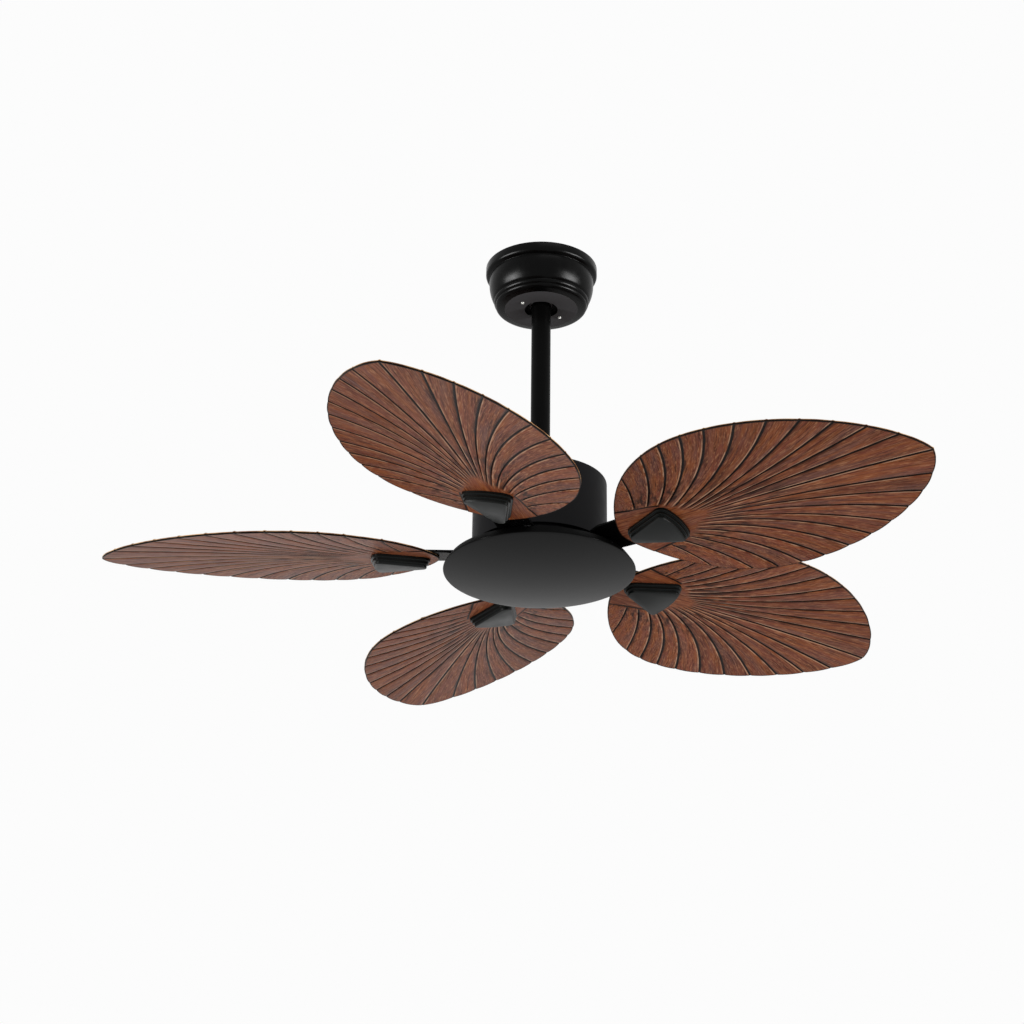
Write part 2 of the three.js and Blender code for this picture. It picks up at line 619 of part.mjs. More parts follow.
function buildRotor() {
  const plateTop = upperBearingTopZ - 2;
  const lipTop = upperBearingTopZ + gap + 2.4;
  piece('rotor_upper_cover', turned([
    [bearingLip, lipTop],
    [bearingLip, upperBearingTopZ + gap],
    [bearingSeat, upperBearingTopZ + gap],
    [bearingSeat, upperBearingBottomZ],
    [bearingSeatOuter, upperBearingBottomZ],
    [bearingSeatOuter, plateTop - rotorPlate],
    [rotorSkirtInner, plateTop - rotorPlate],
    [rotorSkirtInner, rotorSplitZ + gap / 2],
    [rotorSkirtOuter, rotorSplitZ + gap / 2],
    [rotorSkirtOuter, plateTop - 2],
    [rotorSkirtOuter - 2, plateTop],
    [bearingSeatOuter, plateTop],
    [bearingSeatOuter, lipTop],
  ], motorSides), castAluminium);
  piece('rotor_magnet_ring', tube(magnetRingInner, magnetRingOuter, stackBottomZ - magnetRingMargin,
    stackTopZ + magnetRingMargin, motorSides), magnetBlack);
  const lipTopLower = lowerBearingBottomZ - gap;
  let lower = turned([
    [bearingLip, flangeBottomZ],
    [rotorFlangeRadius, flangeBottomZ],
    [rotorFlangeRadius, flangeTopZ],
    [rotorSkirtOuter, flangeTopZ],
    [rotorSkirtOuter, rotorSplitZ - gap / 2],
    [rotorSkirtInner, rotorSplitZ - gap / 2],
    [rotorSkirtInner, flangeTopZ],
    [bearingSeatOuter, flangeTopZ],
    [bearingSeatOuter, lowerBearingTopZ],
    [bearingSeat, lowerBearingTopZ],
    [bearingSeat, lipTopLower],
    [bearingLip, lipTopLower],
  ], motorSides);
  for (let blade = 0; blade < bladeCount; blade += 1) {
    for (const radius of ironScrewRadii) {
      const hole = post(ironScrewHole - gap, flangeBottomZ - 1, flangeTopZ - 1, 6).translate([radius, 0, 0])
        .rotate([0, 0, firstBladeAzimuth + 360 * blade / bladeCount]);
      lower = lower.subtract(hole);
    }
  }
  piece('rotor_lower_cover', lower, castAluminium);
}

function buildHousing() {
  const bottom = housingTopZ - housingHeight;
  const outer = [
    [housingRadius, bottom],
    ...arc(housingRadius - housingRound, housingTopZ - housingRound, housingRound, 0, 90, 3),
    [housingHoleRadius, housingTopZ],
  ];
  let solid = turned(sheetProfile(outer, shellSheet, (i) => i !== 2 && i !== 3), 36);
  for (let i = 0; i < 3; i += 1) {
    const turn = [0, 0, 90 + 120 * i];
    const hole = post(setScrewRadius + gap, housingTopZ - shellSheet - 1, housingTopZ + 1, 10);
    solid = solid.subtract(hole.translate([housingScrewCircle, 0, 0]).rotate(turn));
    const screw = panHeadScrew(setScrewRadius - gap, 6, 3.6, 2).rotate([180, 0, 0])
      .translate([housingScrewCircle, 0, housingTopZ + gap]).rotate(turn);
    piece(`housing_screw_${i + 1}`, screw, zincSteel);
  }
  piece('motor_housing', solid, satinBlack);
}

// ---------------------------------------------------------------- bottom cover and its plate

const coverWallInner = coverRadius - shellSheet;
const coverScrewZ = coverPlateTopZ - (coverPlateRim + steelSheet) / 2;
const coverScrewHead = 2.8;
const coverScrewShank = 1.5;

function buildCoverPlate() {
  const outside = coverWallInner - gap;
  let solid = turned([
    [shaftRadius + gap, coverPlateTopZ],
    [shaftRadius + gap, coverPlateBottomZ],
    [outside - steelSheet, coverPlateBottomZ],
    [outside - steelSheet, coverPlateTopZ - coverPlateRim],
    [outside, coverPlateTopZ - coverPlateRim],
    [outside, coverPlateTopZ],
  ], 36);
  for (let i = 0; i < coverScrewCount; i += 1) {
    const hole = bar('x', coverScrewShank + gap, outside - 10, outside + 1, 8)
      .translate([0, 0, coverScrewZ]).rotate([0, 0, firstCoverScrewAzimuth + 360 * i / coverScrewCount]);
    solid = solid.subtract(hole);
  }
  piece('cover_plate', solid, darkSteel);
  piece('cover_plate_nut', hexNut(coverNutBottomZ, coverNutTopZ, shaftRadius + gap), zincSteel);
}

// Shallow pan: upright rim, rounded edge and a gently crowned bottom.
function buildBottomCover() {
  const crownEdgeR = coverRadius - coverRound;
  const crownEdgeZ = coverRimTopZ - coverRimHeight - 1.2;
  const sag = crownEdgeZ - coverBottomZ;
  const crownRadius = (crownEdgeR ** 2 + sag ** 2) / (2 * sag);
  const crownAngle = Math.asin(crownEdgeR / crownRadius) / degrees;
  const crown = arc(0, coverBottomZ + crownRadius, crownRadius, -90, -90 + crownAngle, 4);
  crown[0][0] = 0;
  const outer = [
    ...crown,
    [coverRadius - 0.9, coverRimTopZ - coverRimHeight + 0.4],
    [coverRadius, coverRimTopZ - coverRimHeight + coverRound - 1],
    [coverRadius, coverRimTopZ],
  ];
  let solid = turned(sheetProfile(outer, shellSheet, (i) => i % 2 === 0 || i > 3), 44);
  for (let i = 0; i < coverScrewCount; i += 1) {
    const turn = [0, 0, firstCoverScrewAzimuth + 360 * i / coverScrewCount];
    const hole = bar('x', coverScrewShank + gap, coverWallInner - 1, coverRadius + 0.2, 12,
      coverScrewHead + gap).translate([0, 0, coverScrewZ]).rotate(turn);
    solid = solid.subtract(hole);
    const head = bar('x', coverScrewShank, coverWallInner, coverRadius - 0.1, 12, coverScrewHead);
    const shank = bar('x', coverScrewShank, coverRadius - 9, coverWallInner + 0.2, 8);
    piece(`cover_screw_${i + 1}`, head.add(shank).translate([0, 0, coverScrewZ]).rotate(turn), darkSteel);
  }
  piece('bottom_cover', solid, mattBlack);
}

// ---------------------------------------------------------------- blade irons

const bladeScrewPlaces = [[152, 0], [187, -16], [187, 16]];

// A flat strip that twists from level to the blade's pitch. v runs across it, w is the height above
// the blade's top face.
function ironPoint(radius, v, w) {
  const share = THREE.MathUtils.clamp((radius - ironFlatRadius) / (ironPitchedRadius - ironFlatRadius), 0, 1);
  const tilt = bladePitch * share * degrees;
  return [
    radius,
    v * Math.cos(tilt) + w * Math.sin(tilt),
    bladeTopZ - v * Math.sin(tilt) + w * Math.cos(tilt),
  ];
}

function ironStations() {
  const corner = ironCornerRadius;
  const stations = [[ironInnerRadius, ironHubHalfWidth - 4], [ironInnerRadius + 4, ironHubHalfWidth]];
  stations.push([ironFlatRadius - 6, ironHubHalfWidth], [ironFlatRadius, ironHubHalfWidth + 1.5]);
  const steps = 3;
  for (let i = 1; i <= steps; i += 1) {
    const share = i / steps;
    const radius = ironFlatRadius + (ironPitchedRadius - ironFlatRadius) * share;
    stations.push([radius, ironHubHalfWidth + 1.5 + (ironNeckHalfWidth - ironHubHalfWidth - 1.5) * share]);
  }
  stations.push([ironOuterRadius - corner, ironPalmHalfWidth]);
  for (let i = 1; i <= 3; i += 1) {
    const angle = 90 * i / 3 * degrees;
    const halfWidth = ironPalmHalfWidth - corner * (1 - Math.cos(angle));
    stations.push([ironOuterRadius - corner + corner * Math.sin(angle), halfWidth]);
  }
  return stations;
}

function ironStrip() {
  const [low, high] = [gap, gap + ironThickness];
  const stations = ironStations();
  const vertices = [];
  for (const [radius, halfWidth] of stations) {
    vertices.push(...ironPoint(radius, -halfWidth, low), ...ironPoint(radius, halfWidth, low));
    vertices.push(...ironPoint(radius, halfWidth, high), ...ironPoint(radius, -halfWidth, high));
  }
  const triangles = [0, 2, 1, 0, 3, 2];
  for (let i = 0; i < stations.length - 1; i += 1) {
    for (let side = 0; side < 4; side += 1) {
      const [a, b] = [4 * i + side, 4 * i + (side + 1) % 4];
      triangles.push(a, b, b + 4, a, b + 4, a + 4);
    }
  }
  const last = 4 * (stations.length - 1);
  triangles.push(last, last + 1, last + 2, last, last + 2, last + 3);
  const geometry = new THREE.BufferGeometry();
  geometry.setAttribute('position', new THREE.Float32BufferAttribute(vertices, 3));
  geometry.setIndex(triangles);
  return solidOf(geometry);
}

function bladeScrewHoles(radius, bottom, top) {
  const holes = bladeScrewPlaces.map(([x, y]) => post(radius, bottom, top, 6).translate([x, y, 0]));
  return holes[0].add(holes[1]).add(holes[2]);
}

function ironSolid() {
  let solid = ironStrip();
  for (const radius of ironScrewRadii) {
    const hole = post(ironScrewHole, bladeTopZ - 1, flangeBottomZ + 1, 6).translate([radius, 0, 0]);
    solid = solid.subtract(hole);
  }
  const palmHoles = bladeScrewHoles(bladeScrewHole, -2, ironThickness + 2)
    .rotate([-bladePitch, 0, 0]).translate([0, 0, bladeTopZ]);
  return solid.subtract(palmHoles);
}

// ---------------------------------------------------------------- medallions under the blades

// Guitar-pick outline, grown by the same distance all round. Its narrow end points to the hub.
function medallionOutline(grow) {
  const reachX = medallionCornerX - medallionHubX;
  const spread = Math.hypot(reachX, medallionCornerY);
  const sideNormal = Math.atan2(medallionCornerY, reachX)
    + Math.acos((medallionHubRound - medallionCornerRound) / spread);
  const nose = medallionFaceEnd - medallionCornerX;
  const outerRadius = (nose ** 2 + medallionCornerY ** 2 - medallionCornerRound ** 2)
    / (2 * (nose - medallionCornerRound));
  const outerX = medallionFaceEnd - outerRadius;
  const outerNormal = Math.atan2(medallionCornerY, medallionCornerX - outerX);
  const hub = medallionHubRound + grow;
  const corner = medallionCornerRound + grow;
  const outline = new THREE.Shape();
  outline.absarc(medallionHubX, 0, hub, sideNormal, 2 * Math.PI - sideNormal);
  outline.absarc(medallionCornerX, -medallionCornerY, corner, -sideNormal, -outerNormal);
  outline.absarc(outerX, 0, outerRadius + grow, -outerNormal, outerNormal);
  outline.absarc(medallionCornerX, medallionCornerY, corner, outerNormal, sideNormal);
  return outline;
}

function medallionSolid() {
  const underBlade = -bladeThickness - gap;
  const base = new THREE.ExtrudeGeometry(medallionOutline(medallionRim), {
    depth: medallionBaseHeight, bevelEnabled: false, curveSegments: 3,
  });
  base.translate(0, 0, underBlade - medallionBaseHeight);
  const faceDepth = medallionHeight - medallionBaseHeight;
  const face = new THREE.ExtrudeGeometry(medallionOutline(0), {
    depth: faceDepth - medallionChamfer,
    bevelThickness: medallionChamfer,
    bevelSize: medallionChamfer,
    bevelOffset: -medallionChamfer + 0.6,
    bevelSegments: 1,
    curveSegments: 3,
  });
  face.translate(0, 0, underBlade - medallionHeight + medallionChamfer);
  const pilots = bladeScrewHoles(medallionPilotHole, underBlade - medallionPilotDepth, underBlade + 1);
  return solidOf(base).add(solidOf(face)).subtract(pilots);
}

// ---------------------------------------------------------------- leaf blades

// Edge of the leaf from root to tip on the side of positive v.
const leafEdge = new THREE.CurvePath();
leafEdge.add(new THREE.CubicBezierCurve(
  new THREE.Vector2(bladeRootRadius, 0),
  new THREE.Vector2(bladeRootRadius, bladeHalfWidth * 0.152),
  new THREE.Vector2(bladeRootRadius + (bladeWidestRadius - bladeRootRadius) * 0.304, bladeHalfWidth),
  new THREE.Vector2(bladeWidestRadius, bladeHalfWidth),
));
leafEdge.add(new THREE.CubicBezierCurve(
  new THREE.Vector2(bladeWidestRadius, bladeHalfWidth),
  new THREE.Vector2(bladeWidestRadius + (bladeTipRadius - bladeWidestRadius) * 0.473, bladeHalfWidth),
  new THREE.Vector2(bladeTipRadius - (bladeTipRadius - bladeWidestRadius) * 0.067, bladeHalfWidth * 0.448),
  new THREE.Vector2(bladeTipRadius, 0),
));
const leafEdgeLength = leafEdge.getLength();

// Where the ribs start: an arch over the medallion, from the midrib to its wide corner.
const ribArch = new THREE.QuadraticBezierCurve(
  new THREE.Vector2(ribFanRadius, 0),
  new THREE.Vector2(ribBaseRadius + ribArchReach, ribBaseOffset * 0.67),
  new THREE.Vector2(ribBaseRadius, ribBaseOffset),
);

// Distances of the ribs' ends from the tip, along the edge. Rib 0 is the midrib; the last one is the
// groove that sets off the leaf's stem.
const ribStops = [0, tipRibGap];
for (let i = 2; i <= ribsPerSide - 2; i += 1) {
  ribStops.push(ribStops[i - 1] + (i <= closeRibsFrom ? ribPitch : closeRibPitch));
}
ribStops.push(ribStops[ribsPerSide - 2] + baseRibGap);
ribStops.push(ribStops[ribsPerSide - 1] + stemGrooveGap);

function ribEnd(rib) {
  const before = Math.min(Math.floor(rib), ribsPerSide - 1);
  const distance = THREE.MathUtils.lerp(ribStops[before], ribStops[before + 1], rib - before);
  return leafEdge.getPoint(1 - distance / leafEdgeLength);
}

// Point on a rib, or between two ribs, at a share of its length. Negative ribs are on the other side.
function ribPoint(rib, share) {
  const index = Math.abs(rib);
  const start = ribArch.getPoint(index / ribsPerSide);
  const end = ribEnd(index);
  const chord = end.clone().sub(start);
  const bow = ribBow * Math.min(index / 4, 1, ribsPerSide - index);
  const bulge = 4 * bow * share * (1 - share);
  const x = start.x + chord.x * share + chord.y * bulge;
  const y = start.y + chord.y * share - chord.x * bulge;
  return [x, Math.sign(rib) * y];
}

// Height of the leaf's top face without its pleats: flat at the root, drooping outwards.
function leafSurface(x, y) {
  const flatY = ribBaseOffset;
  const across = Math.max(Math.abs(y) - flatY, 0);
  const middle = (bladeFlatRadius + bladeTipRadius) / 2 - 42;
  const rise = Math.max(x, bladeFlatRadius) - middle;
  const along = (bladeFlatRadius - middle) ** 2 - rise ** 2;
  return along / (2 * bladeBowRadius) - across ** 2 / (2 * bladeCrownRadius);
}

const ribColumns = [0, 0.12, 0.88];    // ridge and the two feet beside it, between a rib and the next
const leafRows = 2;

function leafColumns() {
  const columns = [];
  for (let rib = -ribsPerSide; rib < ribsPerSide; rib += 1) {
    for (const share of ribColumns) columns.push([rib + share, share === 0]);
  }
  columns.push([ribsPerSide, true]);
  return columns;
}

// Two triangles of a cell, cut along the diagonal that leaves the thinner one fatter.
function splitCell([a, b, c, d], points) {
  const area = (p, q, r) => (points[q][0] - points[p][0]) * (points[r][1] - points[p][1])
    - (points[q][1] - points[p][1]) * (points[r][0] - points[p][0]);
  const longWay = Math.min(area(a, b, c), area(a, c, d));
  const otherWay = Math.min(area(a, b, d), area(b, c, d));
  return longWay > otherWay ? [[a, b, c], [a, c, d]] : [[a, b, d], [b, c, d]];
}

// One pleated sheet. The ribs' region is a grid; the stem is a flat polygon that shares its border.
function leafSolid() {
  const columns = leafColumns();
  const rowCount = leafRows + 1;
  const flat = [];
  for (const [rib, onRib] of columns) {
    const stem = Math.abs(rib) === ribsPerSide;
    for (let row = 0; row < rowCount; row += 1) {
      const share = row / leafRows;
      const [x, y] = ribPoint(rib, share);
      const pleat = onRib && !stem ? pleatHeight * Math.min(share * 1.5, 1) : 0;
      flat.push([x, y, leafSurface(x, y) + pleat]);
    }
  }
  const gridCount = flat.length;
  const stemShare = 1 - ribStops[ribsPerSide] / leafEdgeLength;
  const stemSteps = 5;
  for (let i = stemSteps - 1; i > -stemSteps; i -= 1) {
    const point = leafEdge.getPoint(Math.abs(i) / stemSteps * stemShare);
    flat.push([point.x, Math.sign(i) * point.y, leafSurface(point.x, point.y)]);
  }
  const at = (column, row) => column * rowCount + row;
  const last = columns.length - 1;
  const top = [];
  for (let column = 0; column < last; column += 1) {
    for (let row = 0; row < leafRows; row += 1) {
      const corners = [at(column, row), at(column, row + 1), at(column + 1, row + 1), at(column + 1, row)];
      top.push(...splitCell(corners, flat));
    }
  }
  const border = [];
  for (let row = leafRows; row > 0; row -= 1) border.push(at(0, row));
  for (let column = 0; column <= last; column += 1) border.push(at(column, 0));
  for (let row = 1; row <= leafRows; row += 1) border.push(at(last, row));
  for (let i = gridCount; i < flat.length; i += 1) border.push(i);
  const contour = border.map((i) => new THREE.Vector2(flat[i][0], flat[i][1]));
  for (const [a, b, c] of THREE.ShapeUtils.triangulateShape(contour, [])) {
    top.push([border[a], border[b], border[c]]);
  }
  const rim = [];
  for (let column = 0; column <= last; column += 1) rim.push(at(column, leafRows));
  for (let i = gridCount; i < flat.length; i += 1) rim.push(i);
  return thickLeaf(flat, top, rim);
}

// Closes the sheet with its underside and the wall round the rim.
function thickLeaf(flat, top, rim) {
  const count = flat.length;
  const vertices = [];
  for (const drop of [0, bladeThickness]) {
    for (const [x, y, z] of flat) vertices.push(x, y, z - drop);
  }
  const triangles = [];
  for (const [a, b, c] of top) {
    triangles.push(a, b, c, a + count, c + count, b + count);
  }
  for (let i = 0; i < rim.length; i += 1) {
    const [a, b] = [rim[i], rim[(i + 1) % rim.length]];
    triangles.push(a, a + count, b + count, a, b + count, b);
  }
  const geometry = new THREE.BufferGeometry();
  geometry.setAttribute('position', new THREE.Float32BufferAttribute(vertices, 3));
  geometry.setIndex(triangles);
  return solidOf(geometry).subtract(bladeScrewHoles(bladeScrewHole, -bladeThickness - 2, 2));
}

function buildBlades() {
  const iron = ironSolid();
  const leaf = leafSolid();
  const medallion = medallionSolid();
  for (let i = 0; i < bladeCount; i += 1) {
    const arm = new THREE.Group();
    arm.rotation.z = (firstBladeAzimuth + 360 * i / bladeCount) * degrees;
    const pitched = new THREE.Group();
    pitched.position.z = bladeTopZ;
    pitched.rotation.x = -bladePitch * degrees;
    arm.add(pitched);
    fan.add(arm);
    piece(`blade_iron_${i + 1}`, iron, satinBlack, arm);
    piece(`blade_${i + 1}`, leaf, walnut, pitched);
    piece(`medallion_${i + 1}`, medallion, glossBlack, pitched);
  }
}

// ---------------------------------------------------------------- the whole fan

buildBracket();
buildReceiver();
buildCanopy();
buildHangerBall();
buildCrossPin();
buildDownrod();
buildCoupling();
buildClevisPin();
buildCouplingCover();
buildShaft();
buildStator();
buildRotor();
buildHousing();
buildCoverPlate();
buildBottomCover();
buildBlades();

export default fan;
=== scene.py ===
"""Looks of a ceiling fan with five palm-leaf blades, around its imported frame.

+Z up. The origin is the centre of the ceiling plane, so the fan hangs towards -Z. Pieces are modelled
in millimetres and turned to metres when they are finished.
"""

import json
from bisect import bisect_left
from itertools import accumulate
from math import acos, asin, atan2, cos, degrees, hypot, pi, radians, sin, sqrt

import bmesh
import bpy
from mathutils import Matrix, Vector
from mathutils.geometry import interpolate_bezier, intersect_point_line
from mathutils.noise import noise

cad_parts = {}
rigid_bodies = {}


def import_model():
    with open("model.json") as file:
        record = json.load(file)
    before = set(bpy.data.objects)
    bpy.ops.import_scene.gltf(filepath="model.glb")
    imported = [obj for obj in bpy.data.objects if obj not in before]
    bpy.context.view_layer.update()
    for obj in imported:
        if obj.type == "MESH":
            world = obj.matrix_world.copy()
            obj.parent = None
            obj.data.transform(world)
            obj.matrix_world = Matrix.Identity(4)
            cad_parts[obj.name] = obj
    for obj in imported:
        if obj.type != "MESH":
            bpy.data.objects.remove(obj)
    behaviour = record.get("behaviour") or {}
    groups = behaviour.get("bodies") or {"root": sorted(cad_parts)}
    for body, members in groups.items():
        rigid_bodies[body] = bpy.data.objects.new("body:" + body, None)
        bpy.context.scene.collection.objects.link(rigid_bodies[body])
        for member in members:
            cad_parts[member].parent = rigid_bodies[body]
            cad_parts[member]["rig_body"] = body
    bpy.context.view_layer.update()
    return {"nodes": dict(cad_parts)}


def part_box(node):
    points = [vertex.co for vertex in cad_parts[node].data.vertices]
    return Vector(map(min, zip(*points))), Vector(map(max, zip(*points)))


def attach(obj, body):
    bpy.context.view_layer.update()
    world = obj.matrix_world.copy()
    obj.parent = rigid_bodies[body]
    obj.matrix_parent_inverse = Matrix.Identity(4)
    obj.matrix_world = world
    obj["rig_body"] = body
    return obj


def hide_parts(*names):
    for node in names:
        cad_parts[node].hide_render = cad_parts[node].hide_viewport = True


MM = 0.001

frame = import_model()
nodes = frame["nodes"]


# ---------------- places taken from the frame


def low(node):
    """Lowest corner of a node, in millimetres."""
    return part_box(node)[0] / MM


def high(node):
    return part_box(node)[1] / MM


GAP = 0.3  # clearance between pieces that touch

CEILING_GAP_Z = high("canopy").z
CANOPY_RADIUS = high("canopy").x
CANOPY_BOTTOM_Z = low("canopy").z
ROD_RADIUS = high("downrod").x
ROD_TOP_Z = high("downrod").z
ROD_BOTTOM_Z = low("downrod").z
BALL_RADIUS = 24
BALL_CENTRE_Z = low("hanger_ball").z + BALL_RADIUS
BALL_TOP_Z = high("hanger_ball").z
HOUSING_RADIUS = high("motor_housing").x
HOUSING_TOP_Z = high("motor_housing").z
HOUSING_BOTTOM_Z = low("motor_housing").z
YOKE_CAP_RADIUS = high("coupling_cover").x
YOKE_CAP_TOP_Z = high("coupling_cover").z
YOKE_CAP_BOTTOM_Z = low("coupling_cover").z
PAN_RADIUS = high("bottom_cover").x
SHAFT_RADIUS = high("motor_shaft").x
PAN_TOP_Z = high("bottom_cover").z
FLANGE_Z = low("rotor_lower_cover").z  # underside of the rotor flange that carries the arms
SHEET = 1.4  # spun and drawn covers

BLADES = 5
FIRST_BLADE = 36  # degrees, counter-clockwise from +X seen from above
BLADE_PITCH = 11.7
ARM_THICKNESS = 3
LEAF_THICKNESS = 3
LEAF_TOP_Z = FLANGE_Z - GAP - ARM_THICKNESS - GAP

SCREW_AZIMUTH = 38  # degrees, the two canopy screws and the bracket's long direction


# ---------------- camera and studio

CAMERA_PLACE = (0, -2656.5, -1573.5)  # mm, below the blades and in front of the fan
CAMERA_RISE = 24.84  # degrees above the horizon
CAMERA_TURN = 0.734
CAMERA_ROLL = 0.723
CAMERA_LENS = 83.87  # mm, on a sensor 36 mm wide

LAMP_TARGET = Vector((0, 0, -250))  # mm, a place on the rod
FLOOR_Z = -3600
FLOOR_SIZE = 60000
BACKGROUND = "#fcfcfc"
FLOOR_PAINT = "#e4e3e1"
ROOM_LIGHT = 0.62  # of the white background, for light that falls on matt surfaces
FLOOR_WHITENESS = 0.96  # share of the background's white that the floor shows to the eye and in gloss


def linear(code):
    """An sRGB hex colour as linear RGBA."""
    channels = [int(code[i:i + 2], 16) / 255 for i in (1, 3, 5)]
    return tuple(c / 12.92 if c <= 0.04045 else ((c + 0.055) / 1.055) ** 2.4 for c in channels) + (1,)


def add(tree, kind, inputs=(), **settings):
    """A shader node with its settings and links."""
    node = tree.nodes.new("ShaderNode" + kind)
    for name, value in settings.items():
        setattr(node, name, value)
    feed(node, inputs)
    return node


def feed(node, inputs):
    """Sets a node's inputs, from a list in their order or by name or number. Each is a plain value, the
    socket that feeds it, or the node whose first output does."""
    for key, value in inputs.items() if isinstance(inputs, dict) else enumerate(inputs):
        if isinstance(value, bpy.types.Node):
            value = next(socket for socket in value.outputs if socket.enabled)
        if isinstance(value, bpy.types.NodeSocket):
            node.id_data.links.new(value, node.inputs[key])
        else:
            node.inputs[key].default_value = value


def in_scene(name, data):
    """A new object in the scene."""
    thing = bpy.data.objects.new(name, data)
    bpy.context.scene.collection.objects.link(thing)
    return thing


def as_mesh(bm, name):
    mesh = bpy.data.meshes.new(name)
    bm.to_mesh(mesh)
    bm.free()
    return mesh


def make_camera():
    camera = in_scene("camera", bpy.data.cameras.new("camera"))
    camera.data.sensor_width = 36
    camera.data.lens = CAMERA_LENS
    camera.data.clip_start, camera.data.clip_end = 0.01, 50  # metres
    aim = turn("Z", CAMERA_TURN) @ turn("X", 90 + CAMERA_RISE) @ turn("Z", CAMERA_ROLL)
    camera.matrix_world = Matrix.Translation(Vector(CAMERA_PLACE) * MM) @ aim
    bpy.context.scene.camera = camera


def seen_share(tree, most):
    """The most for a ray of the camera, of gloss or through glass, and 0 for one that lights a surface."""
    path = add(tree, "LightPath").outputs
    seen = add(tree, "Math", [path["Is Camera Ray"], path["Is Glossy Ray"]], operation="ADD")
    seen = add(tree, "Math", [seen, path["Is Transmission Ray"]], operation="ADD", use_clamp=True)
    return add(tree, "Math", [seen, most], operation="MULTIPLY")


def make_world():
    """White to the eye and in gloss, and a softer light for everything matt."""
    bpy.context.scene.view_settings.view_transform = "Standard"
    world = bpy.data.worlds.new("studio")
    bpy.context.scene.world = world
    world.use_nodes = True
    tree = world.node_tree
    level = add(tree, "Math", [seen_share(tree, 1 - ROOM_LIGHT), ROOM_LIGHT], operation="ADD")
    feed(tree.nodes["Background"], {"Color": linear(BACKGROUND), "Strength": level})


def softbox(name, azimuth, rise, distance, width, height, radiance):
    """A rectangular lamp that faces the rod. Azimuth is in degrees to the right of the camera's side."""
    lamp = bpy.data.lights.new(name, "AREA")
    lamp.shape = "RECTANGLE"
    lamp.size = width * MM
    lamp.size_y = height * MM
    lamp.energy = radiance * pi * lamp.size * lamp.size_y
    box = in_scene(name, lamp)
    level = distance * cos(radians(rise))
    place = Vector((level * sin(radians(azimuth)), -level * cos(radians(azimuth)),
                    distance * sin(radians(rise)))) + LAMP_TARGET
    facing = (LAMP_TARGET - place).to_track_quat("-Z", "Y")
    box.matrix_world = Matrix.Translation(place * MM) @ facing.to_matrix().to_4x4()
    return box


def make_studio():
    make_world()
    for side, name in ((-1, "left"), (1, "right")):
        softbox(f"{name}_softbox", 65 * side, rise=-8, distance=2400, width=260, height=900, radiance=34)
    softbox("top_softbox", 20, rise=55, distance=2600, width=1600, height=1200, radiance=1.6)
    make_floor()


def light_enamel(*names):
    """Two wide diffusers for the gloss of the upright black pieces, kept off the blades and the pan."""
    upright = bpy.data.collections.new("lit_by_diffusers")
    for name in names:
        upright.objects.link(bpy.data.objects[name])
    for side, name in ((-1, "left"), (1, "right")):
        diffuser = softbox(f"{name}_diffuser", 66 * side, rise=-5, distance=2500, width=1500, height=1000,
                           radiance=30)
        diffuser.visible_diffuse = False
        diffuser.light_linking.receiver_collection = upright


def make_floor():
    """Plain pale floor, nearly as white as the background to the eye."""
    bm = bmesh.new()
    bmesh.ops.create_grid(bm, x_segments=1, y_segments=1, size=FLOOR_SIZE / 2 * MM)
    bmesh.ops.translate(bm, vec=(0, 0, FLOOR_Z * MM), verts=bm.verts)
    floor = in_scene("floor", as_mesh(bm, "floor"))
    paint, tree, shader = new_material("matt_floor_paint", FLOOR_PAINT, 0.9)
    white = add(tree, "Emission", {"Color": linear(BACKGROUND), "Strength": 1})
    mixed = add(tree, "MixShader", [seen_share(tree, FLOOR_WHITENESS), shader, white])
    feed(tree.nodes["Material Output"], {"Surface": mixed})
    paint.cycles.emission_sampling = "NONE"
    floor.data.materials.append(paint)


# ---------------- materials


def new_material(name, colour, roughness, specular=0.5, metallic=0):
    """A material with its shader's fixed values set; returns it with its tree and shader."""
    material = bpy.data.materials.new(name)
    material.use_nodes = True
    tree = material.node_tree
    shader = tree.nodes["Principled BSDF"]
    feed(shader, {"Base Color": linear(colour), "Roughness": roughness, "Specular IOR Level": specular,
                  "Metallic": metallic})
    return material, tree, shader


NOISE_SPAN = (0.3, 0.7)  # nearly all of a noise's values
PATTERN_STEP = 37  # times a pleat's tone, to give each pleat a grain of its own
ONE_WAVE = pi / 20  # scale of a wave pattern with one wave in a unit


def place_noise(tree, period, detail=3, stretch=(1, 1, 1)):
    """Noise on the piece's own place, with its period in millimetres, stretched along an axis."""
    place = add(tree, "TexCoord").outputs["Object"]
    spread = add(tree, "Mapping", {"Vector": place, "Scale": [1 / (period * MM * s) for s in stretch]})
    return add(tree, "TexNoise", {"Vector": spread, "Scale": 1, "Detail": detail, "Roughness": 0.5})


def lay_on(shader, tones=None, shine=None, relief=None):
    """Layers that patterns drive: tones is a pattern and its two colours, shine a noise and the two
    values of the roughness, relief a pattern and its depth in millimetres."""
    tree = shader.id_data
    layers = {}
    if tones:
        mixed = {0: tones[0], 6: linear(tones[1]), 7: linear(tones[2])}
        layers["Base Color"] = add(tree, "Mix", mixed, data_type="RGBA")
    if shine:
        layers["Roughness"] = add(tree, "MapRange", [shine[0], *NOISE_SPAN, *shine[1:]])
    if relief:
        raised = {"Height": relief[0], "Distance": relief[1] * MM, "Strength": 1}
        layers["Normal"] = add(tree, "Bump", raised)
    feed(shader, layers)


def coat(name, colour, shine, patches, grain, depth, detail=2, specular=0.5, metallic=0):
    """A coat whose roughness drifts between two values in patches, over a fine relief. Both periods and
    the relief's depth are in millimetres."""
    material, tree, shader = new_material(name, colour, sum(shine) / 2, specular, metallic)
    lay_on(shader, shine=(place_noise(tree, patches), *shine),
           relief=(place_noise(tree, grain, detail), depth))
    return material


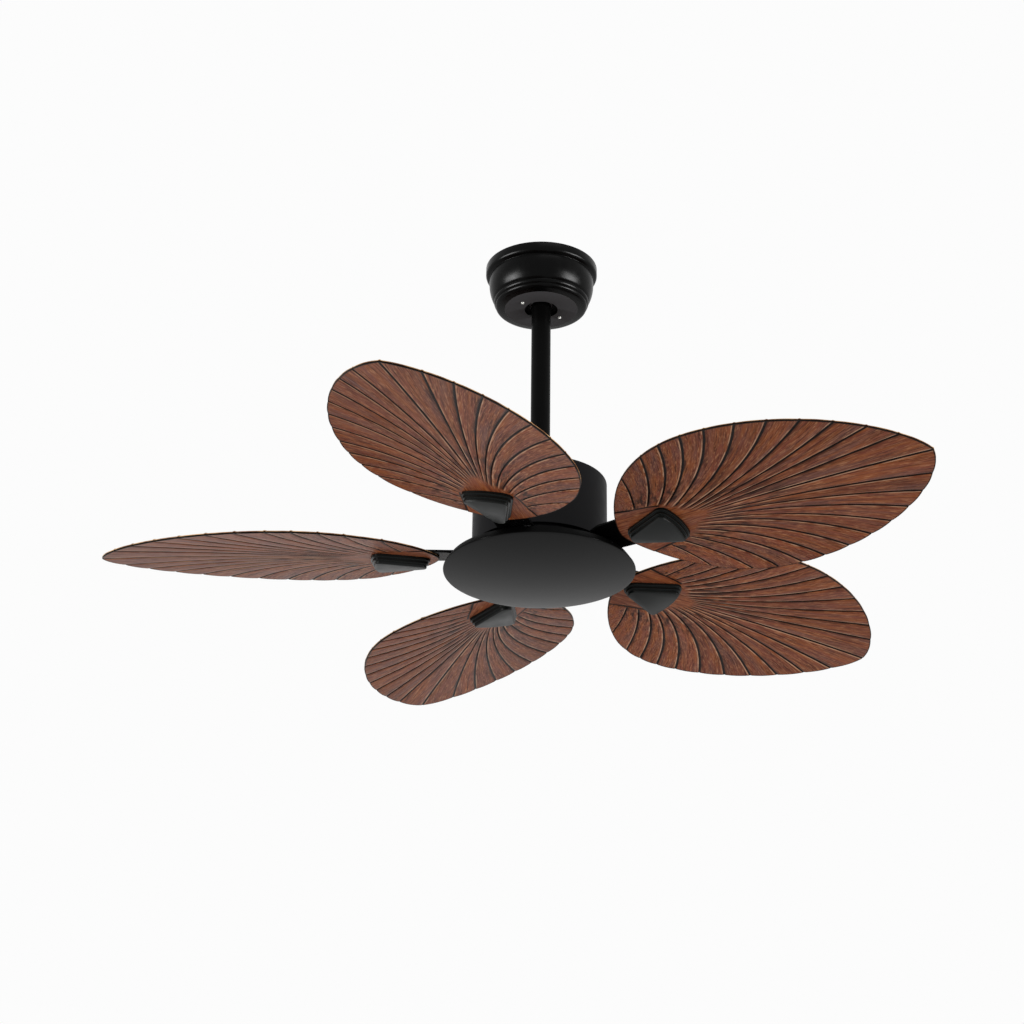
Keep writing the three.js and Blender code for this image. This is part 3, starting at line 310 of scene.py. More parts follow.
def gloss_enamel():
    """Baked black enamel on spun steel: deep black, clean highlights with a faint orange peel."""
    return coat("gloss_black_enamel", "#040404", (0.22, 0.3), 9, 2.5, 0.006, detail=1, specular=0.06)


def painted_reflection_enamel():
    """The canopy's flat bottom: black enamel with the room's reflection painted in as an even dark grey, no
    highlight.
    """
    material, tree, shader = new_material("black_enamel_painted_reflection", "#505052", 0.5, specular=0)
    lay_on(shader, relief=(place_noise(tree, 2.5, 1), 0.006))
    return material


def tube_enamel():
    """Semi-gloss black enamel on the tube and the pressed arms: almost no colour, narrow soft streaks of
    light along a tube, faintly uneven from the paint's flow."""
    material, tree, shader = new_material("semi_gloss_black_enamel", "#070707", 0.28, specular=0.03)
    patches = place_noise(tree, 11, stretch=(1, 1, 4))
    flow = place_noise(tree, 3, 1, stretch=(1, 1, 3))
    lay_on(shader, shine=(patches, 0.24, 0.33), relief=(flow, 0.006))
    return material


def satin_powder_coat():
    """Black powder coat on drawn steel: soft broad highlights, a fine pebbled skin. Its real grain is
    0.3 mm, drawn coarser to show."""
    return coat("satin_black_powder_coat", "#1c1c1d", (0.38, 0.47), 14, 0.9, 0.012, specular=0.02)


def matt_powder_coat():
    """Black powder coat over a crowned sheet: almost black towards the eye, paler where it is seen at a
    slant. Its real grain is 0.4 mm, drawn coarser to show, here and on the rim."""
    return coat("matt_black_powder_coat", "#050505", (0.18, 0.23), 20, 1.1, 0.015, specular=0.065)


def dry_powder_coat():
    """The pan's rim, where the powder lies thin and dry: dull, almost black."""
    return coat("dry_black_powder_coat", "#060606", (0.55, 0.68), 12, 1.1, 0.02, specular=0.02)


def gloss_pad_plastic():
    """Moulded black ABS with a polished face: reflects the room as an even, slightly green grey."""
    return coat("polished_black_abs", "#0a0d0c", (0.32, 0.41), 16, 6, 0.008, detail=1, specular=0.15)


def black_nylon():
    """Moulded black nylon of the hanger ball: slightly waxy gloss, rubbed where it turns in its seat."""
    return coat("moulded_black_nylon", "#343436", (0.26, 0.38), 10, 3, 0.01, specular=0.3)


def white_abs():
    """Moulded white ABS: soft satin skin with a light spark-eroded texture."""
    return coat("white_moulded_abs", "#e6e5df", (0.44, 0.54), 12, 0.9, 0.02)


def black_oxide():
    """Black-oxide steel: dark grey metal with a dull oily sheen."""
    return coat("black_oxide_steel", "#38383b", (0.36, 0.5), 4, 0.8, 0.01, detail=3, metallic=1)


def bright_zinc():
    """Zinc-plated steel: bright, with the cloudy patches that plating leaves."""
    material, tree, shader = new_material("bright_zinc_plating", "#c3c6c9", 0.3, metallic=1)
    clouds = place_noise(tree, 5)
    lay_on(shader, tones=(clouds, "#b2b5b6", "#d2d0c8"), shine=(clouds, 0.24, 0.38))
    return material


def die_cast_aluminium():
    """Die-cast aluminium as cast: pale grey metal, slightly mottled with a fine grain."""
    material, tree, shader = new_material("die_cast_aluminium", "#a2a5a8", 0.46, metallic=1)
    mottle = place_noise(tree, 7, 4)
    lay_on(shader, tones=(mottle, "#95989b", "#b0b2b4"), shine=(mottle, 0.4, 0.54),
           relief=(place_noise(tree, 1.2), 0.03))
    return material


def laminated_steel():
    """Stacked electrical steel: fine level lines, one for each 0.5 mm sheet, drawn 1.5 mm apart to show."""
    material, tree, shader = new_material("stacked_electrical_steel", "#5b5f64", 0.5, metallic=1)
    place = add(tree, "TexCoord").outputs["Object"]
    lines = add(tree, "TexWave", {"Vector": place, "Scale": ONE_WAVE / (1.5 * MM), "Distortion": 0.2},
                bands_direction="Z").outputs["Fac"]
    lay_on(shader, tones=(lines, "#3c3f43", "#6d7176"), relief=(lines, 0.08))
    return material


def enamelled_copper():
    """Enamelled copper wire: warm red metal, its 1 mm turns running round the core."""
    material, tree, shader = new_material("enamelled_copper_wire", "#9c5a30", 0.34, metallic=1)
    place = add(tree, "TexCoord").outputs["Object"]
    turns = add(tree, "TexWave", {"Vector": place, "Scale": ONE_WAVE / (1 * MM), "Distortion": 1.5,
                                  "Detail": 1}, wave_type="RINGS", rings_direction="Z").outputs["Fac"]
    lay_on(shader, tones=(turns, "#6e3418", "#c27c48"), relief=(turns, 0.25))
    return material


def bonded_magnet():
    """Bonded ferrite: dark charcoal with a dry, speckled surface."""
    material, tree, shader = new_material("bonded_ferrite", "#2c2d2f", 0.62)
    specks = place_noise(tree, 0.8, 4)
    lay_on(shader, tones=(specks, "#222325", "#3a3b3e"), relief=(specks, 0.02))
    return material


def stained_walnut():
    """Carved blade in walnut stain under satin lacquer: red-brown wood with orange and mauve patches drawn
    out along each rib, a slightly different tone on each pleat, near-black painted shade in the grooves
    that runs out unevenly on their outer side, a painted highlight as a pale line on their inner side, and
    the same near-black painted shade round the stem's groove and along the leaf's edge."""
    material, tree, shader = new_material("stained_walnut", "#824934", 0.38, specular=0.07)
    grain_uv = add(tree, "UVMap", uv_map="grain")  # millimetres across and along a rib
    along = add(tree, "SeparateXYZ", [grain_uv]).outputs["Y"]
    pleat_tone, root, width, rib, stem_gap, rim_gap, groove = [
        add(tree, "Attribute", attribute_name=name).outputs["Fac"]
        for name in ("pleat_tone", "root", "pleat_width", "rib", "stem_gap", "rim_gap", "groove")]
    pleat_pattern = add(tree, "Math", [pleat_tone, PATTERN_STEP], operation="MULTIPLY")

    def streaks(across, length, detail=2, roughness=0.6):
        """Noise drawn out along the rib, with its periods in millimetres, different on each pleat."""
        spread = add(tree, "Mapping", {"Vector": grain_uv, "Scale": (1 / across, 1 / length, 1)})
        return add(tree, "TexNoise", {"Vector": spread, "W": pleat_pattern, "Scale": 1, "Detail": detail,
                                      "Roughness": roughness}, noise_dimensions="4D")

    def stain_and_shade(wood, colour, share, *limits):
        """The wood under a colour that covers a share of it, times what limits that share."""
        for limit in limits:
            share = add(tree, "Math", [share, limit], operation="MULTIPLY")
        return add(tree, "Mix", {0: share, 6: wood, 7: colour}, data_type="RGBA")

    # Layers of colour: the pattern, its two values between which the layer's share changes, the share at
    # each, and the colour.
    fine = streaks(1.9, 45, 3, 0.65)  # pores are 0.3 mm wide, drawn wider to show
    wood = linear("#824632")
    for pattern, first, last, share_first, share_last, colour in (
        (streaks(9, 90), 0.42, 0.6, 0, 1, "#93522d"),
        (streaks(14, 120), 0.48, 0.68, 0, 0.75, "#745049"),
        (fine, 0.34, 0.53, 0.9, 0, "#40170b"),
        (streaks(1.6, 14), 0.52, 0.72, 0, 0.75, "#c08660"),
    ):
        share = add(tree, "MapRange", [pattern, first, last, share_first, share_last])
        wood = stain_and_shade(wood, linear(colour), share)

    # Warmer at the root, with smears of stain a little way out along the ribs.
    warm = stain_and_shade(linear("#70371f"), linear("#96552e"), add(tree, "MapRange", [fine, *NOISE_SPAN, 0, 1]))
    wood = stain_and_shade(wood, warm, add(tree, "MapRange", [root, 0, 1, 0, 0.9]))
    wood = stain_and_shade(wood, linear("#21100a"),
                   add(tree, "MapRange", [streaks(7, 34), 0.48, 0.62, 0, 0.85]),
                   add(tree, "MapRange", [along, 8, 35, 0, 1]),
                   add(tree, "MapRange", [along, 60, 125, 1, 0.2]))
    value = add(tree, "MapRange", [pleat_tone, 0.2, 0.8, 0.88, 1.12])
    wood = add(tree, "HueSaturation", {"Color": wood, "Value": value})

    # Painted shade and a painted highlight beside the ribs, from distances in millimetres that waver by
    # half a millimetre.
    wavering = add(tree, "Math", [streaks(5, 22), -1.1, 0.55], operation="MULTIPLY_ADD")
    part = add(tree, "Math", [rib], operation="FRACT")
    inner = add(tree, "Math", [part, width], operation="MULTIPLY")  # from the rib nearer the tip
    outer = add(tree, "Math", [width, inner], operation="SUBTRACT")  # from the one nearer the root
    nearest = add(tree, "Math", [inner, outer], operation="MINIMUM")
    near_rib = add(tree, "Math", [nearest, wavering], operation="ADD")
    gauge = add(tree, "MapRange", [width, 5, 22, 0.4, 1])  # lines are thinner where the ribs are close
    near_rib = add(tree, "Math", [near_rib, gauge], operation="DIVIDE")
    line = add(tree, "MapRange", [near_rib, 1.25, 2.2, 1, 0])
    # painted highlight: a pale line on each groove's inner side, where its lip would catch the light
    wood = stain_and_shade(wood, linear("#c59a7d"), groove,
                   add(tree, "MapRange", [inner, 1.4, 2.2, 0, 1]),
                   add(tree, "MapRange", [inner, 2.5, 3.6, 1, 0]),
                   add(tree, "MapRange", [streaks(60, 30, 1), 0.38, 0.56, 0, 1]))
    # painted shade: dark that runs out unevenly from each groove on its outer side
    wood = stain_and_shade(wood, linear("#2a140c"), groove,
                   add(tree, "MapRange", [outer, 1.2, 6, 0.85, 0]),
                   add(tree, "MapRange", [streaks(60, 38, 1), 0.44, 0.58, 0.1, 1]))
    # painted shade: a near-black line along each groove
    dark = add(tree, "Math", [line, groove], operation="MULTIPLY")
    # painted shade round the stem's groove and along the leaf's edge
    for gap, full, none in ((stem_gap, 0.9, 1.8), (rim_gap, 0.7, 1.9)):
        gap = add(tree, "Math", [gap, wavering], operation="ADD")
        share = add(tree, "MapRange", [gap, full, none, 0.95, 0])
        dark = add(tree, "Math", [dark, share], operation="MAXIMUM")
    # the painted shade's near-black colour over the wood
    feed(shader, {"Base Color": stain_and_shade(wood, linear("#120704"), dark)})
    lay_on(shader, shine=(fine, 0.44, 0.34), relief=(fine, 0.1))
    return material


def shaded_edge():
    """Lower part of the blade's edge, in near-black painted shade as dark as the grooves."""
    material, tree, shader = new_material("edge_painted_shade", "#0e0705", 0.5, specular=0.04)
    lay_on(shader, tones=(place_noise(tree, 8), "#0b0503", "#170c08"),
           relief=(place_noise(tree, 2.5), 0.05))
    return material


def highlit_edge():
    """Upper corner of the blade's edge: a painted highlight in pale wood colour, patchy along its length.
    """
    material, tree, shader = new_material("edge_painted_highlight", "#b98a5c", 0.5, specular=0.1)
    patchy = add(tree, "MapRange", [place_noise(tree, 22, 2), 0.4, 0.62, 0, 1])
    lay_on(shader, tones=(patchy, "#8a5f3e", "#d6ac7c"), relief=(place_noise(tree, 2.5), 0.05))
    return material


# ---------------- modelling helpers


def arc(centre_r, centre_z, radius, start, end, steps=6):
    """Points of a round in a profile. Angles are in degrees: 0 outwards, 90 up."""
    angles = [radians(start + (end - start) * i / steps) for i in range(steps + 1)]
    return [(centre_r + radius * cos(a), centre_z + radius * sin(a)) for a in angles]


def curve(start, first, second, end, steps=10):
    """Points of a cubic curve in a profile or an outline."""
    points = [Vector((*p, 0)) for p in (start, first, second, end)]
    return [(p.x, p.y) for p in interpolate_bezier(*points, steps + 1)]


def turned(profile, steps=128, closed=False):
    """Surface of revolution about the fan's axis from (radius, height) points."""
    bm = bmesh.new()
    points = [bm.verts.new((radius, 0, height)) for radius, height in profile]
    ends = points[1:] + points[:1] if closed else points[1:]
    edges = [bm.edges.new(pair) for pair in zip(points, ends)]
    bmesh.ops.spin(bm, geom=points + edges, axis=(0, 0, 1), cent=(0, 0, 0), dvec=(0, 0, 0),
                   angle=2 * pi, steps=steps, use_merge=True)
    bmesh.ops.remove_doubles(bm, verts=bm.verts, dist=0.001)
    bmesh.ops.recalc_face_normals(bm, faces=bm.faces)
    return bm


def post(radius, bottom, top, sides=48):
    """Upright cylinder."""
    bm = bmesh.new()
    bmesh.ops.create_cone(bm, cap_ends=True, segments=sides, radius1=radius, radius2=radius,
                          depth=top - bottom)
    bmesh.ops.translate(bm, vec=(0, 0, (top + bottom) / 2), verts=bm.verts)
    return bm


def block(x0, x1, y0, y1, z0, z1):
    bm = bmesh.new()
    bmesh.ops.create_cube(bm, size=1)
    bmesh.ops.scale(bm, vec=(x1 - x0, y1 - y0, z1 - z0), verts=bm.verts)
    bmesh.ops.translate(bm, vec=((x0 + x1) / 2, (y0 + y1) / 2, (z0 + z1) / 2), verts=bm.verts)
    return bm


def moved(bm, matrix):
    bmesh.ops.transform(bm, matrix=matrix, verts=bm.verts)
    return bm


def turn(axis, angle):
    return Matrix.Rotation(radians(angle), 4, axis)


def shift(x, y, z):
    return Matrix.Translation((x, y, z))


def joined(parts):
    """Several closed solids as one mesh; they may not overlap."""
    whole = bmesh.new()
    for part in parts:
        mesh = as_mesh(part, "part")
        whole.from_mesh(mesh)
        bpy.data.meshes.remove(mesh)
    return whole


def only_verts(geometry):
    return [element for element in geometry if isinstance(element, bmesh.types.BMVert)]


def scratch_object(bm):
    return in_scene("scratch", as_mesh(bm, "scratch"))


def evaluated(scratch):
    """The mesh that an object's modifiers give, as a bmesh. The object is removed."""
    result = bmesh.new()
    result.from_object(scratch, bpy.context.evaluated_depsgraph_get())
    mesh = scratch.data
    bpy.data.objects.remove(scratch)
    bpy.data.meshes.remove(mesh)
    return result


def cut(bm, cutters):
    """The solid less the solids in cutters."""
    whole = scratch_object(bm)
    tools = [scratch_object(cutter) for cutter in cutters]
    for tool in tools:
        boolean = whole.modifiers.new("cut", "BOOLEAN")
        boolean.object = tool
        boolean.operation = "DIFFERENCE"
        boolean.solver = "EXACT"
    result = evaluated(whole)
    for tool in tools:
        bpy.data.objects.remove(tool)
    return result


def walled(bm, wall):
    """An open surface as a sheet of metal, with the wall on its inner side."""
    sheet = scratch_object(bm)
    solidify = sheet.modifiers.new("wall", "SOLIDIFY")
    solidify.thickness = wall
    solidify.offset = -1
    solidify.use_even_offset = True
    return evaluated(sheet)


def softened(bm, width, angle=35, segments=2):
    """Edges sharper than an angle get a small round."""
    edges = [e for e in bm.edges if e.is_manifold and e.calc_face_angle() > radians(angle)]
    bmesh.ops.bevel(bm, geom=edges, offset=width, segments=segments, profile=0.5, affect="EDGES",
                    material=-1, clamp_overlap=True)
    return bm


def around(blade):
    """Turn about the shaft to a blade, from 0 to 4."""
    return turn("Z", FIRST_BLADE + 360 / BLADES * blade)


def on_leaf(blade):
    """From a leaf's own axes, with its top face at 0, to its place on the fan."""
    return around(blade) @ shift(0, 0, LEAF_TOP_Z) @ turn("X", -BLADE_PITCH)


def finished(bm, name, body, materials, replaces=(), sharp=35):
    """A piece in metres, smooth except at real corners, riding on its body."""
    bmesh.ops.scale(bm, vec=(MM, MM, MM), verts=bm.verts)
    mesh = as_mesh(bm, name)
    mesh.shade_smooth()
    mesh.set_sharp_from_angle(angle=radians(sharp))
    for material in materials:
        mesh.materials.append(material)
    piece = in_scene(name, mesh)
    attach(piece, body)
    if replaces:
        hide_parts(*replaces)
    return piece


def pan_head_screw(shank, length, head, height, sides=24):
    """Screw along +Z with its round head below z = 0 and a cross recess in the head."""
    dome = [(head, 0), (0.97 * head, -0.3 * height), (0.86 * head, -0.62 * height),
            (0.7 * head, -0.86 * height)]
    bm = turned([(0, length), (shank, length - 0.5), (shank, 0), *dome], sides)
    rim = [e for e in bm.edges if e.is_boundary]
    arm, slot = 0.55 * head, 0.14 * head
    corners = []
    for quarter in range(4):
        for x, y in ((arm, -slot), (arm, slot), (slot, slot)):
            corners.append(bm.verts.new(turn("Z", 90 * quarter) @ Vector((x, y, -height))))
    recess = bm.faces.new(corners)
    bmesh.ops.bridge_loops(bm, edges=rim + list(recess.edges))
    floor = only_verts(bmesh.ops.extrude_face_region(bm, geom=[recess])["geom"])
    bmesh.ops.translate(bm, vec=(0, 0, 0.6 * height), verts=floor)
    bmesh.ops.recalc_face_normals(bm, faces=bm.faces)
    return bm


# ---------------- canopy and hanger

CANOPY_BAND = 9.5  # mm, the plain band below the ceiling
CANOPY_SHOULDER = CANOPY_RADIUS - 4.2
CANOPY_HOLE = 21
CANOPY_SCREW_CIRCLE = 30
CANOPY_SCREW_SHANK = 2  # radius
CANOPY_SCREW_HEAD = (2.3, 1.6)  # radius and height
ROD_WALL = 2
PIN_RADIUS = 3  # of the cross pin and the clevis pin
PIN_HEAD_RADIUS = 4.4
PIN_HEAD_FROM = 16.7  # mm from the axis to the pin's shoulder
SET_SCREW_RADIUS = 2
SET_SCREW_DROP = 5  # below the ball's centre
KEYWAY_WIDTH = 13.5
KEYWAY_DEPTH = 4
KEYWAY_TOP = 2  # above the ball's centre


def canopy_profile():
    """From the ceiling down: band, bulge, two beads and the flat bottom with its hole."""
    band = arc(CANOPY_RADIUS - 4.5, -CANOPY_BAND, 4.5, 0, -75, 7)
    bulge = curve((CANOPY_SHOULDER - 0.7, -16.8), (67.4, -25), (66.2, -37), (61.1, -45.6), 14)
    upper_bead = curve((59.8, -47), (61, -48.2), (60.4, -50.6), (58.8, -52), 8)
    lower_bead = curve((58.2, -52.8), (58.8, -54.4), (57.4, -56.8), (54.6, -57.6), 8)
    return [
        (CANOPY_RADIUS, CEILING_GAP_Z),
        *band,
        (CANOPY_SHOULDER - 1, -CANOPY_BAND - 5.3),
        *bulge,
        (59.4, -46.6),
        *upper_bead,
        (58, -52.4),
        *lower_bead,
        (50.5, -58.3),
        (46.6, CANOPY_BOTTOM_Z + 0.2),
        (45.6, CANOPY_BOTTOM_Z),
        (CANOPY_HOLE, CANOPY_BOTTOM_Z),
    ]


def make_canopy(enamel, reflection_enamel, zinc):
    shell = softened(walled(turned(canopy_profile(), 144), SHEET), 0.3, 60)
    # the flat bottom takes the enamel with the painted reflection
    for face in shell.faces:
        if face.normal.z < -0.95 and face.calc_center_median().z < CANOPY_BOTTOM_Z + 0.2:
            face.material_index = 1
    finished(shell, "canopy_bell", "ceiling_mount", [enamel, reflection_enamel], ["canopy"])
    for index, side in ((1, 0), (2, 180)):
        length = high("canopy_screw_1").z - CANOPY_BOTTOM_Z
        screw = pan_head_screw(CANOPY_SCREW_SHANK, length, *CANOPY_SCREW_HEAD)
        place = turn("Z", SCREW_AZIMUTH + side) @ shift(CANOPY_SCREW_CIRCLE, 0, CANOPY_BOTTOM_Z - GAP)
        finished(moved(screw, place), f"canopy_fixing_{index}", "ceiling_mount", [zinc],
                 [f"canopy_screw_{index}"])


def make_ball(nylon):
    """Ball with its bore, the slot and pockets of the cross pin, and the keyway of the register tab."""
    bm = bmesh.new()
    bmesh.ops.create_uvsphere(bm, u_segments=72, v_segments=48, radius=BALL_RADIUS)
    top = BALL_TOP_Z - BALL_CENTRE_Z
    reach = BALL_RADIUS + 1
    pin, pocket, shoulder = PIN_RADIUS + GAP, PIN_HEAD_RADIUS + 3 * GAP, PIN_HEAD_FROM - GAP
    keyway = KEYWAY_WIDTH / 2
    cutters = [
        block(-reach, reach, -reach, reach, top, reach),
        post(ROD_RADIUS + GAP, -reach, reach, 64),
        moved(post(pin, -reach, reach, 32), turn("Y", 90)),
        block(-reach, reach, -pin, pin, 0, reach),
        moved(block(-keyway, keyway, BALL_RADIUS - KEYWAY_DEPTH, reach, -reach, KEYWAY_TOP),
              turn("Z", SCREW_AZIMUTH)),
        moved(post(SET_SCREW_RADIUS + GAP, 0, reach, 24), shift(0, 0, -SET_SCREW_DROP) @ turn("X", 90)),
    ]
    for side in (0, 180):
        cutters.append(moved(post(pocket, shoulder, reach, 32), turn("Z", side) @ turn("Y", 90)))
        cutters.append(moved(block(shoulder, reach, -pocket, pocket, 0, reach), turn("Z", side)))
    solid = moved(cut(bm, cutters), shift(0, 0, BALL_CENTRE_Z))
    finished(solid, "ball", "pendant", [nylon], ["hanger_ball"])


def make_rod(paint):
    bore = ROD_RADIUS - ROD_WALL
    profile = [(bore, ROD_BOTTOM_Z), (ROD_RADIUS, ROD_BOTTOM_Z), (ROD_RADIUS, ROD_TOP_Z), (bore, ROD_TOP_Z)]
    reach = ROD_RADIUS + 2
    clevis_z = (high("clevis_pin").z + low("clevis_pin").z) / 2
    holes = [moved(post(PIN_RADIUS + GAP, -reach, reach, 32), shift(0, 0, z) @ turn("Y", 90))
             for z in (BALL_CENTRE_Z, clevis_z)]
    tube = cut(turned(profile, 96, closed=True), holes)
    finished(tube, "rod", "pendant", [paint], ["downrod"])


# ---------------- motor housing and bottom pan


def make_yoke_cap(enamel):
    """Cap that hides the joint of rod and motor."""
    dish, round_r = 0.6, 8
    profile = [
        (YOKE_CAP_RADIUS, YOKE_CAP_BOTTOM_Z),
        (YOKE_CAP_RADIUS, YOKE_CAP_BOTTOM_Z + 3),
        *arc(YOKE_CAP_RADIUS - round_r, YOKE_CAP_TOP_Z - dish - round_r, round_r, 0, 84, 12),
        (ROD_RADIUS + 2 * GAP, YOKE_CAP_TOP_Z),
    ]
    shell = softened(walled(turned(profile, 96), SHEET), 0.3, 60)
    finished(shell, "yoke_cap", "pendant", [enamel], ["coupling_cover"])


HOUSING_HOLE = 18  # radius
HOUSING_SCREW_CIRCLE = 25
HOUSING_SCREW_RADIUS = 2


def make_housing(paint):
    """Drawn drum, open below, with a rounded top edge and the holes of its three screws."""
    edge_round = 3.5
    profile = [
        (HOUSING_RADIUS, HOUSING_BOTTOM_Z),
        (HOUSING_RADIUS, HOUSING_BOTTOM_Z + 20),
        (HOUSING_RADIUS, HOUSING_TOP_Z - 20),
        *arc(HOUSING_RADIUS - edge_round, HOUSING_TOP_Z - edge_round, edge_round, 0, 90, 8),
        (HOUSING_HOLE, HOUSING_TOP_Z),
    ]
    shell = walled(turned(profile, 144), SHEET)
    holes = []
    for azimuth in (90, 210, 330):
        hole = post(HOUSING_SCREW_RADIUS + GAP, HOUSING_TOP_Z - 5, HOUSING_TOP_Z + 5, 24)
        holes.append(moved(hole, turn("Z", azimuth) @ shift(HOUSING_SCREW_CIRCLE, 0, 0)))
    finished(softened(cut(shell, holes), 0.25, 60), "housing_drum", "pendant", [paint],
             ["motor_housing"])


PAN_RIM = 9.6  # mm, height of the rim
PAN_MOUTH = 110.5  # radius at the rim's top; the rim leans in by the rest
PAN_ROUND = 0.9
PAN_SAG = 9.5  # the bottom's crown below the rim's edge
PLATE_SHEET = 2
PAN_SCREW_DROP = 2.9  # below the rim's top


def make_pan(paint, rim_paint, oxide):
    """Shallow pan below the blades: crowned bottom, crisp edge, a rim that leans in, three screws in it."""
    lean = degrees(atan2(PAN_RADIUS - PAN_MOUTH, PAN_RIM))
    edge_r = PAN_RADIUS - PAN_ROUND
    edge_z = PAN_TOP_Z - PAN_RIM
    bottom_z = edge_z - PAN_ROUND - PAN_SAG
    crown_radius = (edge_r ** 2 + PAN_SAG ** 2) / (2 * PAN_SAG)
    crown_angle = degrees(asin(edge_r / crown_radius))
    crown = arc(0, bottom_z + crown_radius, crown_radius, -90, -90 + crown_angle, 24)
    crown[0] = (0, bottom_z)
    corner = arc(edge_r, edge_z, PAN_ROUND, -90 + crown_angle, lean, 6)
    bm = turned([*crown, *corner[1:], (PAN_MOUTH, PAN_TOP_Z)], 160)
    shell = softened(walled(bm, SHEET), 0.25, 70)
    for face in shell.faces:
        if face.calc_center_median().z > edge_z:
            face.material_index = 1
    finished(shell, "cover_pan", "pendant", [paint, rim_paint], ["bottom_cover"])
    plate_r = PAN_MOUTH - SHEET / cos(radians(lean)) - GAP
    plate_top, plate_rim = high("cover_plate").z, low("cover_plate").z
    plate = turned([(SHAFT_RADIUS + GAP, plate_top), (SHAFT_RADIUS + GAP, plate_top - PLATE_SHEET),
                    (plate_r - PLATE_SHEET, plate_top - PLATE_SHEET), (plate_r - PLATE_SHEET, plate_rim),
                    (plate_r, plate_rim), (plate_r, plate_top)], 96, closed=True)
    finished(softened(plate, 0.4), "pan_plate", "pendant", [oxide], ["cover_plate"])
    for index in range(1, 4):
        node = f"cover_screw_{index}"
        middle = (low(node) + high(node)) / 2
        azimuth = degrees(atan2(middle.y, middle.x))
        profile = [(0, -6), (1.3, -6), (1.3, -1.4), (2.2, -0.1), (2.1, 0.1), (0, 0.1)]
        radius = PAN_MOUTH + (PAN_RADIUS - PAN_MOUTH) * PAN_SCREW_DROP / PAN_RIM
        place = turn("Z", azimuth) @ shift(radius, 0, PAN_TOP_Z - PAN_SCREW_DROP) @ turn("Y", 90 - lean)
        finished(moved(turned(profile, 32), place), f"pan_screw_{index}", "pendant", [oxide],
                 [node])


# ---------------- arms

ARM_START = 50  # mm from the axis
ARM_END = 198
ARM_LEVEL_TO = 82  # the arm is level up to here and pitched from the next place on
ARM_PITCHED_FROM = 102
ARM_CORNER = 9
ARM_HUB, ARM_NECK, ARM_PALM = 19, 25, 28  # half-widths
HUB_CORNER = 4
HUB_FLARE, FLARE_LENGTH = 1.5, 6  # the hub's end widens by this, over this
ARM_SCREWS = (58, 69)
LEAF_SCREWS = ((152, 0), (187, -16), (187, 16))
SHANK = 1.9  # radius
HEAD = (4, 2.2)  # radius and height
ARM_SCREW_LENGTH, LEAF_SCREW_LENGTH = 7, 11


def arm_half_width(radius):
    if radius > ARM_END - ARM_CORNER:
        into = radius - (ARM_END - ARM_CORNER)
        return ARM_PALM - ARM_CORNER + sqrt(max(ARM_CORNER ** 2 - into ** 2, 0))
    if radius < ARM_START + HUB_CORNER:
        return ARM_HUB - HUB_CORNER + sqrt(HUB_CORNER ** 2 - (ARM_START + HUB_CORNER - radius) ** 2)
    if radius < ARM_LEVEL_TO:
        return ARM_HUB + HUB_FLARE * max(radius - ARM_LEVEL_TO + FLARE_LENGTH, 0) / FLARE_LENGTH
    if radius < ARM_PITCHED_FROM:
        share = (radius - ARM_LEVEL_TO) / (ARM_PITCHED_FROM - ARM_LEVEL_TO)
        return ARM_HUB + HUB_FLARE + (ARM_NECK - ARM_HUB - HUB_FLARE) * share
    share = (radius - ARM_PITCHED_FROM) / (ARM_END - ARM_CORNER - ARM_PITCHED_FROM)
    return ARM_NECK + (ARM_PALM - ARM_NECK) * share


def arm_tilt(radius):
    """Turn of the arm about its length, in radians: none at the hub, the blade's pitch further out."""
    share = (radius - ARM_LEVEL_TO) / (ARM_PITCHED_FROM - ARM_LEVEL_TO)
    return radians(BLADE_PITCH * min(max(share, 0), 1))


def arm_solid():
    """Pressed strip that twists from the rotor flange to the leaf's pitch."""
    bm = bmesh.new()
    bmesh.ops.create_grid(bm, x_segments=74, y_segments=8, size=0.5)
    for vert in bm.verts:
        radius = ARM_START + (vert.co.x + 0.5) * (ARM_END - ARM_START)
        across = 2 * vert.co.y * arm_half_width(radius)
        tilt = arm_tilt(radius)
        vert.co = (radius, across * cos(tilt) + GAP * sin(tilt),
                   LEAF_TOP_Z - across * sin(tilt) + GAP * cos(tilt))
    raised = bmesh.ops.extrude_face_region(bm, geom=list(bm.faces))["geom"]
    for vert in only_verts(raised):
        tilt = arm_tilt(vert.co.x)
        vert.co += Vector((0, sin(tilt), cos(tilt))) * ARM_THICKNESS
    bmesh.ops.recalc_face_normals(bm, faces=bm.faces)
    return softened(bm, 0.5, 50)


def make_arms(paint, zinc):
    for i in range(BLADES):
        finished(moved(arm_solid(), around(i)), f"arm_{i + 1}", "rotor", [paint],
                 [f"blade_iron_{i + 1}"])
        hub_screws = [moved(pan_head_screw(SHANK, ARM_SCREW_LENGTH, *HEAD),
                            around(i) @ shift(radius, 0, LEAF_TOP_Z + 0.1)) for radius in ARM_SCREWS]
        finished(joined(hub_screws), f"arm_screws_{i + 1}", "rotor", [zinc])
        top = GAP + ARM_THICKNESS + 0.1
        leaf_screws = [moved(pan_head_screw(SHANK, LEAF_SCREW_LENGTH, *HEAD),
                             on_leaf(i) @ shift(x, y, top) @ turn("X", 180)) for x, y in LEAF_SCREWS]
        finished(joined(leaf_screws), f"leaf_screws_{i + 1}", "rotor", [zinc])


# ---------------- pads under the leaves

PAD_NOSE_X, PAD_NOSE_ROUND = 145, 7.5
PAD_CORNER_X, PAD_CORNER_Y, PAD_CORNER_ROUND = 192, 21.5, 5
PAD_END = 200  # outer end of the flat face
PAD_HEIGHT = 11.7


